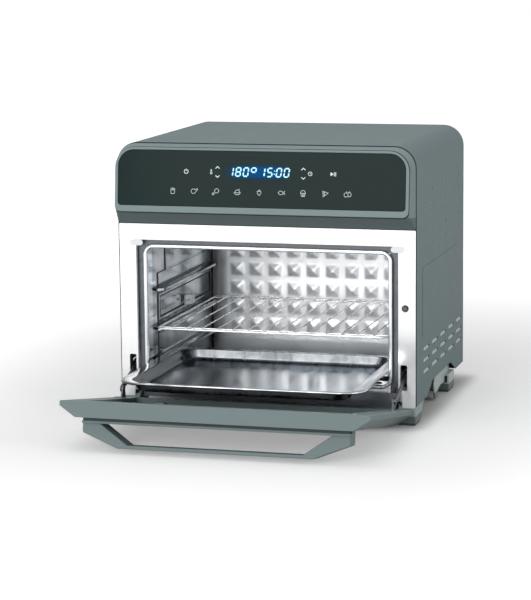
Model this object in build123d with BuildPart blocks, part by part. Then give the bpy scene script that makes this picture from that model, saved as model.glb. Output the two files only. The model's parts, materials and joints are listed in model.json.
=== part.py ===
"""Countertop toaster oven with a drop-down door, a pull-out tray and a touch panel.

Millimetres, +Z up, X across the front (the user looks along +Y).  The origin lies on
the worktop, in the middle of the whole footprint with the door open.
"""
import os
from math import atan2, cos, degrees, hypot, radians, sin

from build123d import *

os.makedirs("parts", exist_ok=True)

# ---- Driving dimensions -------------------------------------------------------------

# Body
body_width = 380.0
body_depth = 301.0
body_height = 318.0
foot_height = 24.0
top_radius = 27.0
sheet = 1.0
liner = 0.8
seat_gap = 0.3          # air between neighbouring pieces that only sit by each other
run_gap = 0.05          # radial clearance of a pin or shaft in its hole

# Front frame and cavity mouth
frame_side = 23.0       # from the body's side to the frame opening
mouth_bottom = 40.0
mouth_drop = 121.5      # from the body's top down to the frame opening
frame_drop = 101.5      # from the body's top down to the front frame
ring_side = 8.0         # from the frame opening in to the rolled lip
ring_bottom = 43.5
ring_drop = 5.8         # from the frame opening's top down to the rolled lip
ring_band = 5.0
ring_depth = 4.0

# Cavity
ring_reach = 3.5        # how far the rolled lip stands outside the cavity
cavity_floor_z = 32.0
ceiling_drop = 131.0    # head space between the body's top and the cavity's ceiling
cavity_front = 6.0      # behind the front plane
back_space = 14.0       # from the cavity's back wall to the body's back

# Door, measured along it from its hinge axis and square to it
hinge_ahead = 9.0       # axis in front of the front plane
hinge_z = 14.0
door_swing = 79.5
door_length = 224.5
door_heel = 4.5
door_inner = 7.5        # inner face above the axis
door_thickness = 19.0
door_inset = 4.5        # from the body's side in to the door's
door_side_edge = 6.0
door_bevel = 19.5
door_pin_r = 2.0

# Tray and rack
tray_side_gap = 3.0     # between the tray's rim and the cavity's wall
tray_length = 235.0
tray_rim_z = 65.5
tray_depth = 13.0
tray_pull = 131.0       # rim in front of the front plane
tray_sheet = 0.9
rack_z = 104.5
rack_side_gap = 6.0     # between the rack's side wires and the cavity's walls
rack_wire_r = 1.7
rack_rod_r = 1.1
rack_front = 22.0
rack_back_gap = 5.0     # between the rack's back wire and the cavity's back wall

# Control head
head_front = 26.0       # lower edge of the head in front of the front plane
head_lean = 8.0         # how much less the upper edge stands out
head_inset = 5.0        # from the body's side in to the head's front
head_top_drop = 4.5     # from the body's top down to the head's front
head_height = 78.5
glass_side = 4.0        # from the head's side in to the glass
glass_below = 7.8       # from the head's lower edge up to the glass
glass_above = 2.5       # from the glass up to the head's upper edge
glass_thickness = 2.6

# ---- Worked-out places --------------------------------------------------------------

base_z = foot_height
top_z = base_z + body_height
half_width = body_width / 2
mouth_top = top_z - mouth_drop
frame_top = top_z - frame_drop
ring_top = mouth_top - ring_drop
cavity_ceiling_z = top_z - ceiling_drop
cavity_back_depth = body_depth - back_space
head_top = top_z - head_top_drop
head_bottom = head_top - head_height
glass_bottom = head_bottom + glass_below
glass_top = head_top - glass_above
mouth_half = half_width - frame_side
ring_half = mouth_half - ring_side
cavity_half = ring_half - ring_reach
door_half = half_width - door_inset
tray_half = cavity_half - tray_side_gap
rack_half = cavity_half - rack_side_gap
rack_back = cavity_back_depth - rack_back_gap
rack_length = rack_back - rack_front
head_half = half_width - head_inset
glass_half = head_half - glass_side
lean = 90 - door_swing                  # the open door's rise above level
door_outer = door_inner - door_thickness
open_reach = (
    hinge_ahead + door_length * cos(radians(lean)) - door_outer * sin(radians(lean))
)
front_y = (open_reach - body_depth) / 2  # front frame's face in the part's own frame
hinge_y = front_y - hinge_ahead


def behind(distance):
    """Upright plane facing the user, this far behind the front frame's face."""
    return Plane.XZ.offset(-(front_y + distance))


def level(height):
    """Horizontal plane at this height above the worktop."""
    return Plane.XY.offset(height)


def side(x):
    """Upright plane across the oven at this x; its axes are Y and Z."""
    return Plane.YZ.offset(x)


def on_door(rise):
    """Plane parallel to the open door, this far above its hinge axis."""
    axis = (0, hinge_y, hinge_z)
    square = (0, sin(radians(lean)), cos(radians(lean)))
    return Plane(origin=axis, x_dir=(-1, 0, 0), z_dir=square).offset(rise)


def save(piece, name):
    """Label a finished piece and write it out under its own name."""
    piece.part.label = name
    export_step(piece.part, f"parts/{name}.step")


# ---- Outer cover: one sheet folded over both sides and the top ---------------------

rear_foot_in_back = 56.0                # from the body's back in to a rear foot
rear_foot_length = 36.0
rear_foot_back = body_depth - rear_foot_in_back
rear_foot_front = rear_foot_back - rear_foot_length
arch_front = 66.0
arch_back = rear_foot_back + 5.0
arch_height = 15.0
arch_slope = 34.0
hole_middle_y = body_depth - 123.0
hole_middle_drop = 94.4
slot_back = 14.0        # from the last slot's end to the body's back
slot_middle_z = 48.8
slot_length = 34.0
slot_height = 4.6
slot_pitch = 52.5
slot_rows = 3
slot_row_pitch = 14.3
slot_columns = 5
slot_middle_y = body_depth - slot_back - (slot_length + (slot_columns - 1) * slot_pitch) / 2
hole_r = 2.4
hole_pitch_y = 86.0
hole_pitch_z = 16.8
hole_bottom = top_z - hole_middle_drop - 2 * hole_pitch_z
panel_depth = 0.6
panel_front = 36.0
panel_back = body_depth - panel_front - 3.0
panel_bottom = 104.0
panel_top = hole_bottom - 24.0

with BuildPart() as outer_cover:
    with BuildSketch(behind(0)):
        with Locations((0, base_z)):
            Rectangle(body_width, body_height, align=(Align.CENTER, Align.MIN))
        top_corners = vertices().group_by(Axis.Y)[-1]
        fillet(top_corners, top_radius)
    extrude(amount=-body_depth)
    with BuildSketch(behind(0)):
        with Locations((0, base_z)):
            Rectangle(
                body_width - 2 * sheet,
                body_height - sheet,
                align=(Align.CENTER, Align.MIN),
            )
        fillet(vertices().group_by(Axis.Y)[-1], top_radius - sheet)
    extrude(amount=-body_depth, mode=Mode.SUBTRACT)
    # Arch over the rear foot in the lower edge of each side
    with BuildSketch(side(0)):
        with BuildLine():
            Polyline(
                (front_y + arch_front, base_z),
                (front_y + arch_front + arch_slope, base_z + arch_height),
                (front_y + arch_back - arch_slope, base_z + arch_height),
                (front_y + arch_back, base_z),
                close=True,
            )
        make_face()
        fillet(vertices().group_by(Axis.Y)[-1], 8)
    extrude(amount=half_width, both=True, mode=Mode.SUBTRACT)
    # Air holes high up and louvre slots low down
    with BuildSketch(side(0)):
        with Locations((front_y + hole_middle_y, top_z - hole_middle_drop)):
            with GridLocations(hole_pitch_y, hole_pitch_z, 3, 5):
                Circle(hole_r)
        with Locations((front_y + slot_middle_y, base_z + slot_middle_z)):
            with GridLocations(slot_pitch, slot_row_pitch, slot_columns, slot_rows):
                SlotOverall(slot_length, slot_height)
    extrude(amount=half_width, both=True, mode=Mode.SUBTRACT)
    # Shallow pressed panel in each side
    for x, out in ((half_width, 1), (-half_width, -1)):
        with BuildSketch(side(x)):
            middle = (front_y + (panel_front + panel_back) / 2, (panel_bottom + panel_top) / 2)
            with Locations(middle):
                RectangleRounded(panel_back - panel_front, panel_top - panel_bottom, 6)
        extrude(amount=-out * panel_depth, mode=Mode.SUBTRACT)
save(outer_cover, "outer_cover")

# ---- Front frame: polished plate with the cavity mouth and the hinge slots ---------

frame_half = half_width - sheet - seat_gap
frame_bottom = base_z - 2
frame_return = 4.5
slot_in = mouth_half + 2.4              # hinge slots, inner and outer edge
slot_out = mouth_half + 11.0
slot_low = 43.5
slot_high = 75.0
notch_in = mouth_half - 7.0             # way out for the hinge brackets
notch_out = mouth_half + 4.7
notch_top = 29.5
switch_x = mouth_half + 8.7
switch_z = 145.0
switch_ball_r = 3.4
switch_stem_r = 1.5

with BuildPart() as front_frame:
    with BuildSketch(behind(0)):
        with Locations((0, frame_bottom)):
            Rectangle(2 * frame_half, frame_top - frame_bottom, align=(Align.CENTER, Align.MIN))
        fillet(vertices().group_by(Axis.Y)[0], 3)
        with Locations((0, mouth_bottom)):
            Rectangle(
                2 * mouth_half,
                mouth_top - mouth_bottom,
                align=(Align.CENTER, Align.MIN),
                mode=Mode.SUBTRACT,
            )
        with Locations((0, (slot_low + slot_high) / 2)):
            with GridLocations(slot_in + slot_out, 1, 2, 1):
                RectangleRounded(slot_out - slot_in, slot_high - slot_low, 2, mode=Mode.SUBTRACT)
        with Locations((0, (frame_bottom + notch_top) / 2)):
            with GridLocations(notch_in + notch_out, 1, 2, 1):
                Rectangle(notch_out - notch_in, notch_top - frame_bottom, mode=Mode.SUBTRACT)
        with Locations((switch_x, switch_z)):
            Circle(switch_ball_r + 0.8, mode=Mode.SUBTRACT)
    extrude(amount=-sheet)
    # The mouth's edges are folded back
    with BuildSketch(behind(sheet)):
        with Locations((0, mouth_bottom - sheet)):
            Rectangle(
                2 * (mouth_half + sheet),
                mouth_top - mouth_bottom + 2 * sheet,
                align=(Align.CENTER, Align.MIN),
            )
        with Locations((0, mouth_bottom)):
            Rectangle(
                2 * mouth_half,
                mouth_top - mouth_bottom,
                align=(Align.CENTER, Align.MIN),
                mode=Mode.SUBTRACT,
            )
    extrude(amount=-frame_return)
save(front_frame, "front_frame")

# ---- Bulkhead behind the frame: carries the cavity and closes the recess -----------

bulkhead_at = 9.0
bulkhead_half = half_width - sheet - seat_gap
bulkhead_top = frame_top - 6
bracket_top = 44.0      # hinge brackets pass through the bulkhead below this
arm_way_low = 46.0
arm_way_high = 86.0

with BuildPart() as bulkhead:
    with BuildSketch(behind(bulkhead_at)):
        with Locations((0, base_z + sheet)):
            Rectangle(2 * bulkhead_half, bulkhead_top - base_z - sheet, align=(Align.CENTER, Align.MIN))
        with Locations((0, cavity_floor_z - liner - seat_gap)):
            Rectangle(
                2 * (cavity_half + liner + seat_gap),
                cavity_ceiling_z - cavity_floor_z + 2 * (liner + seat_gap),
                align=(Align.CENTER, Align.MIN),
                mode=Mode.SUBTRACT,
            )
        with Locations((0, (arm_way_low + arm_way_high) / 2)):
            with GridLocations(slot_in + slot_out, 1, 2, 1):
                Rectangle(slot_out - slot_in + 1, arm_way_high - arm_way_low, mode=Mode.SUBTRACT)
        with Locations((0, base_z + sheet)):
            with GridLocations(notch_in + notch_out, 1, 2, 1):
                Rectangle(
                    notch_out - notch_in,
                    2 * (bracket_top - base_z),
                    mode=Mode.SUBTRACT,
                )
        with Locations((switch_x, switch_z)):
            Circle(switch_stem_r + run_gap, mode=Mode.SUBTRACT)
    extrude(amount=-sheet)
save(bulkhead, "bulkhead")

# ---- Rolled lip round the cavity mouth ---------------------------------------------

ring_radius = 14.0
with BuildPart() as cavity_rim:
    with BuildSketch(behind(cavity_front)):
        with Locations((0, ring_bottom)):
            Rectangle(2 * ring_half, ring_top - ring_bottom, align=(Align.CENTER, Align.MIN))
        fillet(vertices(), ring_radius)
        offset(amount=-ring_band, mode=Mode.SUBTRACT)
    extrude(amount=ring_depth)
    fillet(faces().sort_by(Axis.Y)[0].edges(), ring_band / 2 - 0.6)
save(cavity_rim, "cavity_rim")

# ---- Cavity liner: two side walls with pressed rails, ceiling, floor and back ------

rail_reach = 9.5
rail_height = 9.0
rail_start = 40.0
rail_end = cavity_back_depth - 5.0
rail_taper = 7.0
tray_rail_top = tray_rim_z - 2.8 - seat_gap
rack_rail_top = rack_z - rack_wire_r - seat_gap
upper_rail_drop = 58.0  # from the cavity's ceiling down to the empty top rail
upper_rail_top = cavity_ceiling_z - upper_rail_drop
wall_length = cavity_back_depth - cavity_front
wall_height = cavity_ceiling_z - cavity_floor_z
heater_r = 3.25
heater_z = 41.5
heater_places = (78.0, cavity_back_depth - 79.0)    # behind the front plane
heater_gap = heater_places[1] - heater_places[0]
probe_place = 168.0
probe_z = 119.0


def rail_sections(top, hand, shrink):
    """Foot and crest of a pressed rail: flat on top, sloping below and at its ends."""
    wall_x = hand * (cavity_half + shrink)
    crest_x = hand * (cavity_half - rail_reach + shrink)
    start = front_y + rail_start + shrink
    length = rail_end - rail_start - 2 * shrink
    with BuildSketch(side(wall_x)) as foot:
        with Locations((start + length / 2, top - shrink)):
            Rectangle(length, rail_height - 2 * shrink, align=(Align.CENTER, Align.MAX))
    with BuildSketch(side(crest_x)) as crest:
        with Locations((start + length / 2, top - shrink)):
            Rectangle(
                length - 2 * rail_taper,
                rail_height / 2 - 2 * shrink,
                align=(Align.CENTER, Align.MAX),
            )
    return [foot.sketch, crest.sketch]


def cavity_wall(hand, name):
    """One side wall of the cavity; hand is -1 on the left and 1 on the right."""
    with BuildPart() as wall:
        with BuildSketch(side(hand * cavity_half)):
            with Locations((front_y + cavity_front + wall_length / 2, cavity_floor_z)):
                Rectangle(wall_length, wall_height, align=(Align.CENTER, Align.MIN))
            with Locations(*[(front_y + place, heater_z) for place in heater_places]):
                Circle(heater_r + run_gap, mode=Mode.SUBTRACT)
        extrude(amount=hand * liner)
        for top in (tray_rail_top, rack_rail_top, upper_rail_top):
            loft(rail_sections(top, hand, 0))
            loft(rail_sections(top, hand, liner), mode=Mode.SUBTRACT)
    save(wall, name)


cavity_wall(-1, "cavity_left_wall")
cavity_wall(1, "cavity_right_wall")

fan_mouth_r = 96.0
guard_r = 101.0
fan_centre_y = front_y + body_depth / 2

with BuildPart() as cavity_ceiling:
    with BuildSketch(level(cavity_ceiling_z)):
        with Locations((0, front_y + cavity_front)):
            Rectangle(2 * cavity_half, wall_length, align=(Align.CENTER, Align.MIN))
        with Locations((0, fan_centre_y)):
            Circle(fan_mouth_r, mode=Mode.SUBTRACT)
    extrude(amount=liner)
save(cavity_ceiling, "cavity_ceiling")

sill_height = 14.0
floor_ribs = 5
rib_pitch = heater_gap * 6 / 17         # the heaters' clips stand between ribs
rib_in = 30.5           # from the cavity's wall in to a rib's end
rib_width = 7.0
rib_height = 1.6
with BuildPart() as cavity_floor:
    with BuildSketch(level(cavity_floor_z)):
        with Locations((0, front_y + cavity_front)):
            Rectangle(2 * cavity_half, wall_length, align=(Align.CENTER, Align.MIN))
    extrude(amount=-liner)
    # Front edge turned up to the rolled lip
    with BuildSketch(behind(cavity_front)):
        with Locations((0, cavity_floor_z)):
            Rectangle(2 * cavity_half, sill_height, align=(Align.CENTER, Align.MIN))
    extrude(amount=-liner)
    # Stiffening ribs across the floor
    with BuildSketch(level(cavity_floor_z)):
        with Locations((0, front_y + sum(heater_places) / 2)):
            with GridLocations(1, rib_pitch, 1, floor_ribs):
                SlotOverall(2 * (cavity_half - rib_in), rib_width)
    extrude(amount=rib_height, taper=30)
save(cavity_floor, "cavity_floor")

dimple_pitch_x = 26.8
dimple_pitch_z = 25.5
dimple_size = 17.0
dimple_depth = 4.2
dimple_tip = 1.8        # half the width of a pyramid's blunt tip
dimple_slope = degrees(atan2(dimple_size / 2 - dimple_tip, dimple_depth))
dimple_low = 66.5
dimple_edge = 26.0      # least distance of a column from the cavity's wall
dimple_head = 9.0       # least distance of the top row's middle from the ceiling
dimple_columns = 1 + int(2 * (cavity_half - dimple_edge) / dimple_pitch_x)
dimple_rows = 1 + int((cavity_ceiling_z - dimple_head - dimple_low) / dimple_pitch_z)
with BuildPart() as cavity_back:
    with BuildSketch(behind(cavity_back_depth)):
        with Locations((0, cavity_floor_z - liner)):
            Rectangle(
                2 * (cavity_half + liner),
                wall_height + 2 * liner,
                align=(Align.CENTER, Align.MIN),
            )
    extrude(amount=-liner)
    # Pyramids pressed towards the food: first the skin in front, then the hollow behind
    dimple_middle = dimple_low + dimple_pitch_z * (dimple_rows - 1) / 2
    for inset, mode in ((0, Mode.ADD), (liner, Mode.SUBTRACT)):
        with BuildSketch(behind(cavity_back_depth + inset)):
            with Locations((0, dimple_middle)):
                with GridLocations(dimple_pitch_x, dimple_pitch_z, dimple_columns, dimple_rows):
                    Rectangle(dimple_size - 2 * inset, dimple_size - 2 * inset)
        extrude(amount=dimple_depth, taper=dimple_slope, mode=mode)
save(cavity_back, "cavity_back")

# ---- Heaters, their clips and the temperature probe --------------------------------

terminal_length = 6.0
with BuildPart() as lower_heaters:
    for place in heater_places:
        with BuildSketch(side(-cavity_half - terminal_length)):
            with Locations((front_y + place, heater_z)):
                Circle(heater_r)
        extrude(amount=2 * (cavity_half + terminal_length))
save(lower_heaters, "lower_heaters")

clip_width = 8.0
clip_sheet = 1.0
clip_half = 70.0
with BuildPart() as heater_clips:
    for place in heater_places:
        for x in (-clip_half, clip_half):
            with BuildSketch(side(x)):
                with Locations((front_y + place, cavity_floor_z)):
                    Rectangle(12, clip_sheet, align=(Align.CENTER, Align.MIN))
                    Rectangle(
                        clip_sheet * 2,
                        heater_z - cavity_floor_z - heater_r,
                        align=(Align.CENTER, Align.MIN),
                    )
                with Locations((front_y + place, heater_z)):
                    Circle(heater_r + run_gap + clip_sheet)
                    Circle(heater_r + run_gap, mode=Mode.SUBTRACT)
                    Rectangle(
                        heater_r,
                        heater_r * 2,
                        align=(Align.CENTER, Align.MIN),
                        mode=Mode.SUBTRACT,
                    )
            extrude(amount=clip_width / 2, both=True)
save(heater_clips, "heater_clips")

ceramic_r = 5.5
with BuildPart() as heater_insulators:
    for place in heater_places:
        for hand in (-1, 1):
            with BuildSketch(side(hand * (cavity_half + liner))):
                with Locations((front_y + place, heater_z)):
                    Circle(ceramic_r)
                    Circle(heater_r + run_gap, mode=Mode.SUBTRACT)
            extrude(amount=hand * (terminal_length - liner - 1))
save(heater_insulators, "heater_insulators")

probe_r = 1.6
probe_length = 20.0
probe_off = 5.0
with BuildPart() as probe_clip:
    with BuildSketch(level(probe_z)):
        with BuildLine():
            Polyline(
                (-cavity_half, front_y + probe_place - 11),
                (-cavity_half, front_y + probe_place - 5),
                (-cavity_half + probe_off + probe_r + 1.3, front_y + probe_place - 5),
                (-cavity_half + probe_off + probe_r + 1.3, front_y + probe_place + 5),
                (-cavity_half, front_y + probe_place + 5),
                (-cavity_half, front_y + probe_place + 11),
                (-cavity_half + 1, front_y + probe_place + 11),
                (-cavity_half + 1, front_y + probe_place + 6),
                (-cavity_half + probe_off + probe_r + 2.3, front_y + probe_place + 6),
                (-cavity_half + probe_off + probe_r + 2.3, front_y + probe_place - 6),
                (-cavity_half + 1, front_y + probe_place - 6),
                (-cavity_half + 1, front_y + probe_place - 11),
                close=True,
            )
        make_face()
    extrude(amount=6, both=True)
    with BuildSketch(Plane.XZ.offset(-(front_y + probe_place - 15))):
        with Locations((-cavity_half + probe_off, probe_z)):
            Circle(probe_r + run_gap)
    extrude(amount=-30, mode=Mode.SUBTRACT)
save(probe_clip, "probe_clip")

with BuildPart() as probe:
    with BuildSketch(Plane.XZ.offset(-(front_y + probe_place - probe_length / 2))):
        with Locations((-cavity_half + probe_off, probe_z)):
            Circle(probe_r)
    extrude(amount=-probe_length)
    fillet(edges().filter_by(GeomType.CIRCLE), probe_r - 0.5)
save(probe, "probe")

# ---- Fan unit in the space above the ceiling ---------------------------------------

guard_slot_height = 6.0
guard_ring_radii = (38.0, 76.0)
guard_slot_lengths = (40.0, 26.0)
guard_slots = (8, 20)
with BuildPart() as fan_guard:
    with BuildSketch(level(cavity_ceiling_z)):
        with Locations((0, fan_centre_y)):
            Circle(guard_r)
            for ring_r, length, number in zip(guard_ring_radii, guard_slot_lengths, guard_slots):
                with PolarLocations(ring_r, number):
                    SlotOverall(length, guard_slot_height, mode=Mode.SUBTRACT)
    extrude(amount=-liner)
save(fan_guard, "fan_guard")

ring_heater_r = 82.0
ring_heater_z = cavity_ceiling_z + 10.0
ring_heater_gap = 24.0
duct_height = 50.0
ring_ends = [
    (
        hand * ring_heater_r * sin(radians(ring_heater_gap / 2)),
        fan_centre_y + ring_heater_r * cos(radians(ring_heater_gap / 2)),
    )
    for hand in (-1, 1)
]
with BuildPart() as ring_heater:
    with BuildLine() as ring_path:
        CenterArc(
            (0, fan_centre_y, ring_heater_z),
            ring_heater_r,
            90 + ring_heater_gap / 2,
            360 - ring_heater_gap,
        )
    with BuildSketch(ring_path.line ^ 0):
        Circle(heater_r)
    sweep(path=ring_path.line)
    # Two ends turned up through the duct's roof
    with BuildSketch(level(ring_heater_z)):
        with Locations(*ring_ends):
            Circle(heater_r)
    extrude(amount=duct_height - 4)
    with Locations(ring_path.line @ 0, ring_path.line @ 1):
        Sphere(heater_r)
save(ring_heater, "ring_heater")

duct_r = 100.0
duct_flange = 10.0
shaft_r = 3.0
shaft_bottom = cavity_ceiling_z + 15.0
shaft_top = top_z - 20.0
with BuildPart() as fan_duct:
    with BuildSketch(level(cavity_ceiling_z + liner)):
        with Locations((0, fan_centre_y)):
            Circle(duct_r + duct_flange)
    extrude(amount=liner)
    with BuildSketch(level(cavity_ceiling_z + liner)):
        with Locations((0, fan_centre_y)):
            Circle(duct_r + liner)
    extrude(amount=duct_height)
    with BuildSketch(level(cavity_ceiling_z + liner)):
        with Locations((0, fan_centre_y)):
            Circle(duct_r)
    extrude(amount=duct_height - liner, mode=Mode.SUBTRACT)
    with BuildSketch(level(cavity_ceiling_z + liner)):
        with Locations((0, fan_centre_y)):
            Circle(shaft_r + 0.6)
        with Locations(*ring_ends):
            Circle(heater_r + run_gap)
    extrude(amount=duct_height, mode=Mode.SUBTRACT)
save(fan_duct, "fan_duct")


fan_hub_r = 11.0
fan_r = 72.0
fan_z = cavity_ceiling_z + 27.0
fan_blades = 10
blade_length = 36.0
blade_sheet = 1.0
blade_height = 14.0
with BuildPart() as convection_fan:
    with BuildSketch(level(fan_z)):
        with Locations((0, fan_centre_y)):
            Circle(fan_r)
    extrude(amount=blade_sheet)
    with BuildSketch(level(fan_z - blade_height / 2)):
        with Locations((0, fan_centre_y)):
            Circle(fan_hub_r)
    extrude(amount=blade_height / 2 + blade_sheet + 3)
    # Blades folded down from the disc
    with BuildSketch(level(fan_z - blade_height)):
        with Locations((0, fan_centre_y)):
            with PolarLocations((fan_r + fan_hub_r) / 2 + 6, fan_blades):
                with Locations(Location((0, 0, 0), (0, 0, 25))):
                    Rectangle(blade_length, blade_sheet)
    extrude(amount=blade_height)
    with BuildSketch(level(fan_z - blade_height)):
        with Locations((0, fan_centre_y)):
            Circle(shaft_r)
    extrude(amount=3 * blade_height, mode=Mode.SUBTRACT)
save(convection_fan, "convection_fan")

duct_roof = cavity_ceiling_z + liner + duct_height
motor_foot = 4.0
motor_r = 32.0
motor_height = 38.0
with BuildPart() as fan_motor:
    with BuildSketch(level(duct_roof + motor_foot)):
        with Locations((0, fan_centre_y)):
            Circle(motor_r)
    extrude(amount=motor_height)
    fillet(edges().filter_by(GeomType.CIRCLE), 4)
    # Three lugs stand the can on the duct's roof
    with BuildSketch(level(duct_roof)):
        with Locations((0, fan_centre_y)):
            with PolarLocations(motor_r - 3, 3, start_angle=90):
                SlotOverall(26, 11)
    extrude(amount=motor_foot + 2)
    with BuildSketch(level(duct_roof)):
        with Locations((0, fan_centre_y)):
            Circle(shaft_r + run_gap)
    extrude(amount=motor_height + 2 * motor_foot, mode=Mode.SUBTRACT)
save(fan_motor, "fan_motor")

with BuildPart() as motor_shaft:
    with BuildSketch(level(shaft_bottom)):
        with Locations((0, fan_centre_y)):
            Circle(shaft_r)
    extrude(amount=shaft_top - shaft_bottom)
save(motor_shaft, "motor_shaft")

cooling_fan_z = top_z - 36.0
cooling_fan_r = 46.0
cooling_fan_height = 10.0
cooling_hub_r = 12.0
cooling_blades = 5
cooling_blade_width = 22.0
cooling_blade_tilt = radians(28)
with BuildPart() as cooling_fan:
    with BuildSketch(level(cooling_fan_z)):
        with Locations((0, fan_centre_y)):
            Circle(cooling_hub_r)
    extrude(amount=cooling_fan_height)
    # Flat blades set at an angle round the hub
    for number in range(cooling_blades):
        turn = radians(360 / cooling_blades * number)
        blade = Plane(
            origin=(0, fan_centre_y, cooling_fan_z + cooling_fan_height / 2),
            x_dir=(cos(turn), sin(turn), 0),
            z_dir=(
                -sin(turn) * sin(cooling_blade_tilt),
                cos(turn) * sin(cooling_blade_tilt),
                cos(cooling_blade_tilt),
            ),
        )
        with BuildSketch(blade):
            with Locations((cooling_hub_r - 2, 0)):
                Trapezoid(
                    cooling_blade_width,
                    cooling_fan_r - cooling_hub_r,
                    80,
                    rotation=-90,
                    align=(Align.CENTER, Align.MIN),
                )
        extrude(amount=blade_sheet / 2, both=True)
    with BuildSketch(level(cooling_fan_z - 1)):
        with Locations((0, fan_centre_y)):
            Circle(shaft_r)
    extrude(amount=cooling_fan_height + 2, mode=Mode.SUBTRACT)
save(cooling_fan, "cooling_fan")

# ---- Base pan, rear panel, mains gland and case screws ------------------------------

pan_half = half_width - sheet - seat_gap
pan_front = 2.0
pan_notch = 24.0                        # centred on the pan's front edge
pan_step = 9.0
pan_slot_length = 40.0
with BuildPart() as base_pan:
    with BuildSketch(level(base_z)):
        with Locations((0, front_y + pan_front)):
            Rectangle(
                2 * pan_half,
                body_depth - pan_front - sheet - seat_gap,
                align=(Align.CENTER, Align.MIN),
            )
        # Way out for the hinge brackets
        with Locations((0, front_y + pan_front)):
            with GridLocations(notch_in + notch_out, 1, 2, 1):
                Rectangle(notch_out - notch_in, pan_notch, mode=Mode.SUBTRACT)
        # Room for the rear feet, which rise into the arches of the cover
        with Locations((0, front_y + (arch_front + arch_back) / 2)):
            with GridLocations(2 * pan_half, 1, 2, 1):
                Rectangle(2 * pan_step, arch_back - arch_front, mode=Mode.SUBTRACT)
        with Locations((0, front_y + body_depth / 2 + 20)):
            with GridLocations(24, pan_slot_length + 20, 9, 3):
                SlotOverall(pan_slot_length, 4, rotation=90, mode=Mode.SUBTRACT)
    extrude(amount=sheet)
save(base_pan, "base_pan")

rear_slots = (7, 6)
rear_slot_drop = 62.0
gland_x = half_width - 50.0
gland_z = base_z + 36.0
gland_r = 7.0
gland_flange_r = 10.5
gland_reach = 3.0       # how far the gland stands out behind the rear panel
cord_r = 3.8
with BuildPart() as rear_panel:
    with BuildSketch(behind(body_depth - sheet)):
        with Locations((0, base_z + sheet + seat_gap)):
            Rectangle(
                2 * pan_half,
                body_height - 2 * (sheet + seat_gap),
                align=(Align.CENTER, Align.MIN),
            )
        fillet(vertices().group_by(Axis.Y)[-1], top_radius - sheet - seat_gap)
        with Locations((0, top_z - rear_slot_drop)):
            with GridLocations(44, 11, *rear_slots):
                SlotOverall(34, 4, mode=Mode.SUBTRACT)
        with Locations((gland_x, gland_z)):
            Circle(gland_r + run_gap, mode=Mode.SUBTRACT)
    extrude(amount=-sheet)
save(rear_panel, "rear_panel")

gland_length = sheet + 4.0
with BuildPart() as cord_gland:
    with BuildSketch(behind(body_depth)):
        with Locations((gland_x, gland_z)):
            Circle(gland_flange_r)
    extrude(amount=-gland_reach)
    fillet(edges().filter_by(GeomType.CIRCLE).group_by(Axis.Y)[-1], gland_reach / 2)
    with BuildSketch(behind(body_depth)):
        with Locations((gland_x, gland_z)):
            Circle(gland_r)
    extrude(amount=gland_length)
    with BuildSketch(behind(body_depth + gland_reach)):
        with Locations((gland_x, gland_z)):
            Circle(cord_r)
    extrude(amount=gland_reach + gland_length, mode=Mode.SUBTRACT)
save(cord_gland, "cord_gland")

# ---- Control head: lofted bezel with a leaning glass panel -------------------------

head_back_half = half_width - 0.6
head_back_top = top_z - 0.6
head_radius = 25.0
head_low_radius = 8.0
head_web = 2.5
panel_angle = degrees(atan2(head_lean, head_top - head_bottom))
panel_length = hypot(head_lean, head_top - head_bottom)
glass_radius = 20.0
glass_low_radius = 4.0
display_width = 84.0
display_height = 18.0
display_up = 51.0
display_thick = 6.0


def on_panel(out):
    """Plane of the leaning front of the head; its Y runs up from the lower edge."""
    low_edge = (0, front_y - head_front, head_bottom)
    square = (0, -cos(radians(panel_angle)), sin(radians(panel_angle)))
    return Plane(origin=low_edge, x_dir=(1, 0, 0), z_dir=square).offset(out)


def glass_outline(spare):
    """Outline of the glass panel, grown by the spare on every side."""
    with BuildSketch() as outline:
        with Locations((0, glass_bottom - head_bottom - spare)):
            Rectangle(
                2 * (glass_half + spare),
                glass_top - glass_bottom + 2 * spare,
                align=(Align.CENTER, Align.MIN),
            )
        fillet(outline.vertices().group_by(Axis.Y)[-1], glass_radius + spare)
        fillet(outline.vertices().group_by(Axis.Y)[0], glass_low_radius + spare)
    return outline.sketch


with BuildPart() as control_bezel:
    with BuildSketch(behind(0)) as head_root:
        with Locations((0, frame_top)):
            Rectangle(
                2 * head_back_half,
                head_back_top - frame_top,
                align=(Align.CENTER, Align.MIN),
            )
        fillet(head_root.vertices().group_by(Axis.Y)[-1], top_radius - 0.6)
        fillet(head_root.vertices().group_by(Axis.Y)[0], 2)
    with BuildSketch(on_panel(0)) as head_face:
        Rectangle(2 * head_half, panel_length, align=(Align.CENTER, Align.MIN))
        fillet(head_face.vertices().group_by(Axis.Y)[-1], head_radius)
        fillet(head_face.vertices().group_by(Axis.Y)[0], head_low_radius)
    loft()
    # Seat of the glass, room for the boards behind it and the display's window
    with BuildSketch(on_panel(0)):
        add(glass_outline(seat_gap))
    extrude(amount=-glass_thickness, mode=Mode.SUBTRACT)
    with BuildSketch(on_panel(-glass_thickness - head_web)):
        with Locations((0, panel_length / 2)):
            RectangleRounded(2 * head_half - 16, panel_length - 14, 12)
    extrude(amount=-2 * head_front, mode=Mode.SUBTRACT)
    with BuildSketch(on_panel(-glass_thickness)):
        with Locations((0, display_up)):
            Rectangle(display_width + 1, display_height + 1)
    extrude(amount=-2 * head_web, mode=Mode.SUBTRACT)
save(control_bezel, "control_bezel")

with BuildPart() as panel_glass:
    with BuildSketch(on_panel(0)):
        add(glass_outline(0))
    extrude(amount=-glass_thickness)
    fillet(faces().sort_by(Axis.Y)[0].edges(), 0.4)
save(panel_glass, "panel_glass")

with BuildPart() as display_module:
    with BuildSketch(on_panel(-glass_thickness)):
        with Locations((0, display_up)):
            Rectangle(display_width, display_height)
    extrude(amount=-head_web)
save(display_module, "display_module")

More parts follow.
